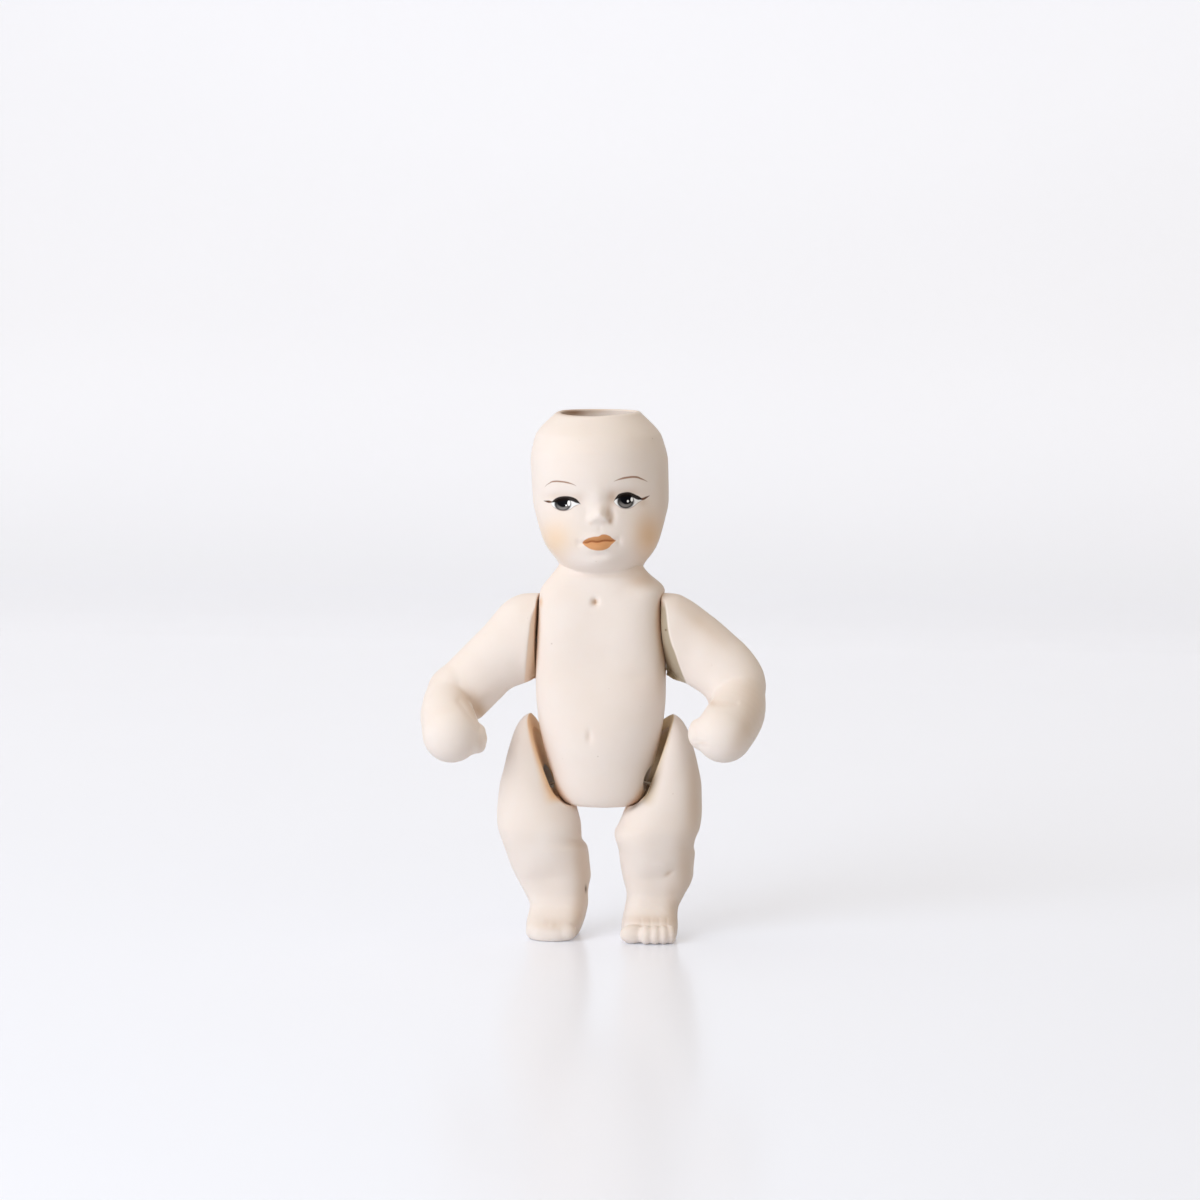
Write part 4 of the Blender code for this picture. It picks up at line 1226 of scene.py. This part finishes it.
# Brow lines and how thick they are
BROWS = [
    ([(545, 486.7), (549.2, 483.3), (554.2, 481.4), (561.7, 481.7), (570, 483.3), (576, 485.9)], 1.5),
    ([(614.2, 481.3), (620, 479.1), (626.7, 477.6), (635, 477), (640.8, 478.6), (647.5, 481.8)], 1.9),
]
LIP_TOP = [
    (582.5, 542.6), (586.7, 538.9), (593.3, 536.9), (598.3, 536.4), (603.3, 534.4), (608.3, 535.4),
    (612.5, 538.4), (615.6, 540.4),
]
LIP_LINE = [
    (582.5, 542.9), (587, 542.6), (591.7, 541.4), (597.5, 541.8), (605, 540.6), (611.7, 540.8),
    (615.6, 540.6),
]
LIP_LOW = [
    (582.5, 543.2), (586.7, 546.9), (592.5, 549.7), (600, 550.5), (606.7, 548.9), (611.7, 544.4),
    (615.6, 540.9),
]
# Paints of the washes, nearly all painted shade
# Painted shade in the crown's opening, the eye sockets and beside the nose
PAINTED_SHADE_BROWN = (0.50, 0.30, 0.17)
# Painted shade in folds, creases and dimples, on shaded sides and over the toes
FOLD_SHADE_BROWN = (0.60, 0.42, 0.27)
# Painted shade, warm with bounced light, in the gap at the shoulder
GAP_SHADE_ORANGE = (0.80, 0.43, 0.18)
# Dark paint for a few real marks on the limbs, and painted shade deep in the gaps at shoulder and hip
DARK_MARK_AND_GAP_SHADE = (0.09, 0.04, 0.012)
# Washes, each across, down, half width, half height, amount, paint and lean: real blush on the cheeks,
# and painted shade round the eyes, on the crown and body, and on the limbs, where a few real dark marks
# are also given
BLUSH = [(555, 540, 18, 20, 0.5, (0.86, 0.56, 0.28)), (649, 537, 16, 24, 0.65, (0.82, 0.5, 0.24))]
# Painted shade in the eye sockets, beside the nose and in the nostrils
EYE_AND_NOSE_SHADE = [
    (563, 496.5, 15, 4.5, 0.25, PAINTED_SHADE_BROWN), (578, 499, 6, 6, 0.18, PAINTED_SHADE_BROWN), (628, 493, 16, 5, 0.32, PAINTED_SHADE_BROWN),
    (612.5, 498.5, 5, 7, 0.5, PAINTED_SHADE_BROWN), (608, 512, 2.4, 7, 0.42, PAINTED_SHADE_BROWN), (610, 521.5, 1.9, 2.6, 0.6, PAINTED_SHADE_BROWN),
    (590.5, 523, 2.2, 2, 0.16, PAINTED_SHADE_BROWN), (643, 502, 5, 4.5, 0.28, PAINTED_SHADE_BROWN),
]
# Painted shade: deep in the crown's opening, in the neck and navel dimples, under the chin, at the
# shoulder gap, beside the nose and on the shaded right sides of head, neck and torso
BODY_SHADE_WASHES = [
    (574, 412.5, 13, 3.2, 0.75, (0.34, 0.15, 0.06)), (595, 411, 12, 2.5, 0.3, PAINTED_SHADE_BROWN),
    (595, 602.5, 3, 2.8, 0.35, FOLD_SHADE_BROWN), (588.8, 736, 2.2, 5.5, 0.16, FOLD_SHADE_BROWN), (661, 640, 4, 45, 0.4, FOLD_SHADE_BROWN),
    (541, 602, 1.8, 4.5, 0.5, GAP_SHADE_ORANGE), (602, 576, 22, 2.2, 0.14, FOLD_SHADE_BROWN), (650, 760, 8, 30, 0.15, FOLD_SHADE_BROWN, 25),
    (663, 500, 6, 40, 0.2, FOLD_SHADE_BROWN), (640, 582, 14, 8, 0.4, FOLD_SHADE_BROWN), (612, 517, 2.6, 6, 0.3, PAINTED_SHADE_BROWN),
]
# Painted shade in the elbow folds, on the limbs' shaded sides, at knees, ankles and toes and in the
# shoulder and hip gaps, with a few real dark marks
LIMB_SHADE_AND_MARK_WASHES = {
    "arm_right": [
        (479, 711, 7, 11, 0.75, FOLD_SHADE_BROWN, -35), (467, 696, 15, 8, 0.25, FOLD_SHADE_BROWN, 40),
        (468, 699, 13, 7, 0.22, FOLD_SHADE_BROWN), (539.5, 602, 2.2, 4.5, 0.85, DARK_MARK_AND_GAP_SHADE), (480, 744, 3, 8, 0.25, FOLD_SHADE_BROWN),
    ],
    "arm_left": [
        (720, 703, 16, 4, 0.2, FOLD_SHADE_BROWN, 2), (742, 735, 9, 28, 0.25, FOLD_SHADE_BROWN, 25), (712, 703, 4, 3, 0.3, FOLD_SHADE_BROWN),
        (702, 743, 5, 1.2, 0.2, FOLD_SHADE_BROWN), (700, 622, 32, 8, 0.3, FOLD_SHADE_BROWN, 38),
        (665.8, 630, 0.9, 0.9, 0.9, DARK_MARK_AND_GAP_SHADE), (752, 700, 12, 30, 0.2, FOLD_SHADE_BROWN),
    ],
    "leg_right": [
        (584, 875, 8, 42, 0.4, FOLD_SHADE_BROWN), (578, 918, 7, 22, 0.35, FOLD_SHADE_BROWN), (552, 924, 15, 5, 0.25, FOLD_SHADE_BROWN),
        (585.8, 889, 0.9, 3.4, 0.85, DARK_MARK_AND_GAP_SHADE), (553, 929, 10, 2.6, 0.14, FOLD_SHADE_BROWN), (578, 850, 6, 30, 0.2, FOLD_SHADE_BROWN),
    ],
    "leg_left": [
        (694, 800, 8, 60, 0.4, FOLD_SHADE_BROWN), (684, 868, 8, 34, 0.4, FOLD_SHADE_BROWN), (672, 905, 7, 24, 0.3, FOLD_SHADE_BROWN),
        (648, 918, 26, 3, 0.22, FOLD_SHADE_BROWN), (649, 786, 5, 15, 0.9, DARK_MARK_AND_GAP_SHADE, 25),
        (635, 806, 9, 2.6, 0.7, DARK_MARK_AND_GAP_SHADE, -35), (668, 874, 4.5, 2.4, 0.35, FOLD_SHADE_BROWN, -30),
        (651, 921, 20, 2, 0.22, FOLD_SHADE_BROWN),
    ],
}
# Painted shade on a limb's seat, where it lies in the gap beside the torso, by side: its paint and amount
HIP_SEAT_SHADE = {1: ((0.62, 0.47, 0.27), 0.8), -1: ((0.90, 0.58, 0.31), 0.75)}
SHOULDER_SEAT_SHADE = {1: ((0.36, 0.29, 0.18), 0.8), -1: ((0.90, 0.66, 0.45), 0.5)}


def paint_eye(tree, colour, across, down, eye, front):
    """Gives the colour with one eye on it, and where the eye is open."""
    opening = shape(across, down, eye["lid"], eye["lower"]) * front
    colour = blend(tree, colour, EYE_WHITE, opening)
    x, y, wide, high = eye["iris"]
    iris = disc(across, down, x, y, wide, high) * opening
    tone = blend(tree, IRIS_TOP, IRIS_BASE, (down - y).ramp(-2, 5.5))
    middle = disc(across, down, x, y, wide - IRIS_EDGE_WIDTH, high - IRIS_EDGE_WIDTH, 0.2)
    colour = blend(tree, colour, IRIS_EDGE, iris)
    colour = blend(tree, colour, tone, iris * middle)
    colour = blend(tree, colour, PUPIL, disc(across, down, *eye["pupil"]) * opening)
    rim = stroke(across, down, eye["lower"], 0.9, 4) * front
    colour = blend(tree, colour, EYE_RIM, rim * 0.55)
    for line, thick, tone in ((eye["flick"], 2.4, FLICK), (eye["lid"], 4.2, LASH)):
        mark = stroke(across, down, line, thick, 5) * front
        colour = blend(tree, colour, tone, mark * 0.97)
    for light in eye["lights"]:
        colour = blend(tree, colour, LIGHT, disc(across, down, *light) * front)
    return colour, opening


def paint_face(tree, colour, rough):
    """The painted eyes, brows, lips and blush, and painted shade on the head and body."""
    across, down = seen_in_shader(tree)
    front = dot(tree, place_of(tree), (0, 1000, 0)).ramp(-4, -2.5, 1, 0)
    facing = faces(tree, VIEW_BACK).ramp(0.0, 0.25)
    # Painted shade on the head and body, with the real blush on the cheeks
    colour = washes(tree, colour, across, down, BODY_SHADE_WASHES + BLUSH, facing)
    for brow, thick in BROWS:
        line = stroke(across, down, brow, thick, 10)
        colour = blend(tree, colour, BROW, line * front * 0.85)
    # Painted shade round the eyes and nose
    colour = washes(tree, colour, across, down, EYE_AND_NOSE_SHADE, front)
    for eye in EYES:
        colour, opening = paint_eye(tree, colour, across, down, eye, front)
        rough = rough * ((opening * -0.3) + 1)
    upper = shape(across, down, LIP_TOP, LIP_LINE) * front
    lower = shape(across, down, LIP_LINE, LIP_LOW) * front
    colour = blend(tree, colour, UPPER_LIP, upper * 0.92)
    colour = blend(tree, colour, LOWER_LIP, lower * 0.92)
    seam = stroke(across, down, LIP_LINE, 1.8, 5) * front
    return blend(tree, colour, LIP_SEAM, seam * 0.8), rough


def paint_limb(name, side, place):
    """The painted shade and a few real dark marks of one limb, and the painted shade on its seat."""
    def paint(tree, colour, rough):
        across, down = seen_in_shader(tree)
        front = faces(tree, VIEW_BACK).ramp(0.0, 0.25)
        if name.startswith("leg"):
            centre, out, up, _ = hip_frame(side, place)
            apart = vector_math(tree, "SUBTRACT", place_of(tree), centre)[0]
            d, h = dot(tree, apart, out * 1000), dot(tree, apart, up * 1000)
            seat = faces(tree, -out).ramp(0.35, 0.9) * d.ramp(1.2, 2.4, 1, 0) * h.ramp(-5.5, -3.5)
            tone, amount = HIP_SEAT_SHADE[side]
        else:
            ridge = [(y, x) for y, x in ARMS[name[4:]]["ridge"]]
            depth = (down.along(ridge) - across) * side
            seat = depth.ramp(-0.6, 1.4) * down.ramp(598, 610) * down.ramp(686, 692, 1, 0) * front
            tone, amount = SHOULDER_SEAT_SHADE[side]
        # Painted shade on the limb's seat, in the gap beside the torso
        colour = blend(tree, colour, tone, seat * amount)
        # Washes of painted shade, with a few real dark marks
        return washes(tree, colour, across, down, LIMB_SHADE_AND_MARK_WASHES[name], front), rough
    return paint


def steel_material():
    made, tree, shader = new_material("wire")
    grain = noise(tree, 0.3, 4, 0.7)
    colour = blend(tree, (0.55, 0.53, 0.50), (0.32, 0.24, 0.18), grain.ramp(0.5, 0.75))
    feed(tree, colour, shader.inputs["Base Color"])
    feed(tree, grain * 0.3 + 0.25, shader.inputs["Roughness"])
    set_inputs(shader, Metallic=1)
    return made


def elastic_material():
    made, tree, shader = new_material("covered_elastic")
    wave = set_inputs(tree.nodes.new("ShaderNodeTexWave"), Scale=1100, Distortion=1.5)
    feed(tree, place_of(tree), wave.inputs["Vector"])
    thread = Num(tree, wave.outputs["Fac"])
    colour = blend(tree, (0.86, 0.83, 0.77), (0.62, 0.57, 0.50), thread)
    feed(tree, colour, shader.inputs["Base Color"])
    set_inputs(shader, Roughness=0.85)
    relief(tree, shader, thread, 0.00005)
    return made


# Elastic loops: rings along a loop, points round its cord, and the braid's crossing ribs
LOOP_RINGS = 420
CORD_SIDES = 28
BRAID_RIBS = 7
BRAID_TURNS = 90
BRAID_RELIEF = 0.05


def make_elastic(name, seat, places):
    """A loop of covered elastic from hook to hook, its braid in relief."""
    inner = seat.at(-(CLEARANCE + WALL + HOOK_INSIDE), 0)
    left, right = (place @ mirrored([inner], side)[0] for side, place in zip((1, -1), places))
    along = (left - right).normalized()
    across = along.cross(Vector((0, 0, 1))).normalized()
    rise = across.cross(along)
    turn = ELASTIC_TURN_RADIUS
    straight = (left - right).length - 2 * turn
    total = 2 * straight + math.tau * turn
    rings = []
    for i in range(LOOP_RINGS):
        back, s = divmod(total * i / LOOP_RINGS, total / 2)
        end, way = (right, along) if back else (left, -along)
        a = (2 * back - 1) * QUARTER_TURN + min(s / turn, math.pi)
        out = along * math.cos(a) - across * math.sin(a)
        point = end + way * (turn + max(s - math.pi * turn, 0)) + out * turn
        twist = BRAID_TURNS * math.tau * i / LOOP_RINGS
        ring = []
        for b in ring_angles(CORD_SIDES, 0):
            braid = math.sin(BRAID_RIBS * b + twist) * math.sin(BRAID_RIBS * b - twist)
            radius = ELASTIC_RADIUS * (1 + BRAID_RELIEF * braid)
            ring.append(point + (out * math.cos(b) + rise * math.sin(b)) * radius)
        rings.append(ring)
    return piece(name, mesh_of(name, rings, closed=True))


# Pieces

# Edges of the castings that bend more than this are shaded sharp
SHARP_EDGE = math.radians(38)

head_torso = make_casting()
head_torso.data.materials.append(bisque("bisque_painted", paint_face))
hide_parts("head_torso")
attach(head_torso, "torso")

for side, side_name, turn in ((1, "left", LEFT_LEG_TURN), (-1, "right", RIGHT_LEG_TURN)):
    place = hip_place(side, turn)
    for limb, made in (("arm", make_arm(side, side_name)), ("leg", make_leg(side, side_name, place))):
        name = f"{limb}_{side_name}"
        made.data.materials.clear()
        made.data.materials.append(bisque(f"bisque_{name}", paint_limb(name, side, place)))
        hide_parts(name)
        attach(made, name)
for made in [o for o in bpy.data.objects if o.name.startswith("bisque_")]:
    made.data.shade_smooth()
    made.data.set_sharp_from_angle(angle=SHARP_EDGE)

wire, cord = steel_material(), elastic_material()
shoulders = [Matrix.Translation(shoulder_point(side)) for side in (1, -1)]
hips = [hip_place(1, LEFT_LEG_TURN), hip_place(-1, RIGHT_LEG_TURN)]
for name, seat, places in (("arm", SHOULDER, shoulders), ("leg", HIP, hips)):
    loop = make_elastic(f"covered_{name}_elastic", seat, places)
    loop.data.shade_smooth()
    loop.data.materials.append(cord)
    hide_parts(f"{name}_elastic")
    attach(loop, "torso")
for name, node in frame["nodes"].items():
    if "bar" in name or "hook" in name:
        for slot in node.material_slots:
            slot.material = wire


# Stage

# The table top: its near and far ends and half width, and its rise into the backdrop
TABLE_NEAR = -1.2
TABLE_FAR = 0.5
TABLE_HALF_WIDTH = 1.6
BACKDROP_BEND = 0.35
BACKDROP_HEIGHT = 1.4
BEND_STEPS = 16
# The table's face lies this far below the soles
TABLE_DROP = 0.00002


def stage_material():
    made, tree, shader = new_material("table_top")
    haze = noise(tree, 90, 2, 0.5)
    feed(tree, blend(tree, (0.84, 0.885, 0.98), (0.82, 0.865, 0.96), haze), shader.inputs["Base Color"])
    rays = tree.nodes.new("ShaderNodeLightPath")
    path = Num(tree, rays.outputs["Is Camera Ray"]).most(Num(tree, rays.outputs["Is Glossy Ray"]))
    far = dot(tree, place_of(tree), (0, 1, 0))
    back = far.ramp(0.0, 0.3, 0.14, 0.16) + far.ramp(0.5, 0.72, 0, 0.15)
    feed(tree, (0.98, 0.97, 1), shader.inputs["Emission Color"])
    feed(tree, path * back, shader.inputs["Emission Strength"])
    set_inputs(shader, Roughness=0.22, Specular_IOR_Level=0.35)
    return made


def make_stage():
    turns = [QUARTER_TURN * k / BEND_STEPS for k in range(1, BEND_STEPS + 1)]
    bend = BACKDROP_BEND
    profile = [(TABLE_NEAR, 0), (TABLE_FAR, 0)]
    profile += [(TABLE_FAR + bend * math.sin(t), bend * (1 - math.cos(t))) for t in turns]
    profile.append((TABLE_FAR + bend, BACKDROP_HEIGHT))
    points = [(x, y, z) for x in (-TABLE_HALF_WIDTH, TABLE_HALF_WIDTH) for y, z in profile]
    count = len(profile)
    faces = [(i, i + 1, count + i + 1, count + i) for i in range(count - 1)]
    mesh = bpy.data.meshes.new("table_top")
    mesh.from_pydata(points, [], faces)
    mesh.shade_smooth()
    mesh.materials.append(stage_material())
    floor = piece("table_top", mesh)
    floor.location.z = -TABLE_DROP


def lamp(name, place, size, power, colour):
    """A round lamp at a place, aimed at the doll's middle."""
    data = bpy.data.lights.new(name, "AREA")
    data.shape = "DISK"
    data.size = size
    data.energy = power
    data.color = colour
    made = piece(name, data)
    made.location = place
    aim = VIEW_MIDDLE - Vector(place)
    made.rotation_euler = aim.to_track_quat("-Z", "Y").to_euler()


make_stage()
lamp("key", (-0.53, -0.70, 0.36), 0.75, 5.6, (0.85, 0.91, 1.0))
lamp("top", (-0.2, 0.1, 0.9), 0.9, 1.3, (0.98, 0.98, 1))

world = bpy.data.worlds.new("room")
world.use_nodes = True
set_inputs(world.node_tree.nodes["Background"], Color=(1, 0.875, 0.71, 1), Strength=0.53)
scene = bpy.context.scene
scene.world = world

lens = bpy.data.cameras.new("camera")
lens.sensor_width = 36
lens.lens = lens.sensor_width / 2 * FOCUS / HALF_FRAME
lens.clip_start, lens.clip_end = 0.05, 10
camera = piece("camera", lens)
camera.location = EYE_POINT
camera.rotation_euler = (-VIEW_BACK).to_track_quat("-Z", "Y").to_euler()
scene.camera = camera

scene.view_settings.view_transform = "Standard"
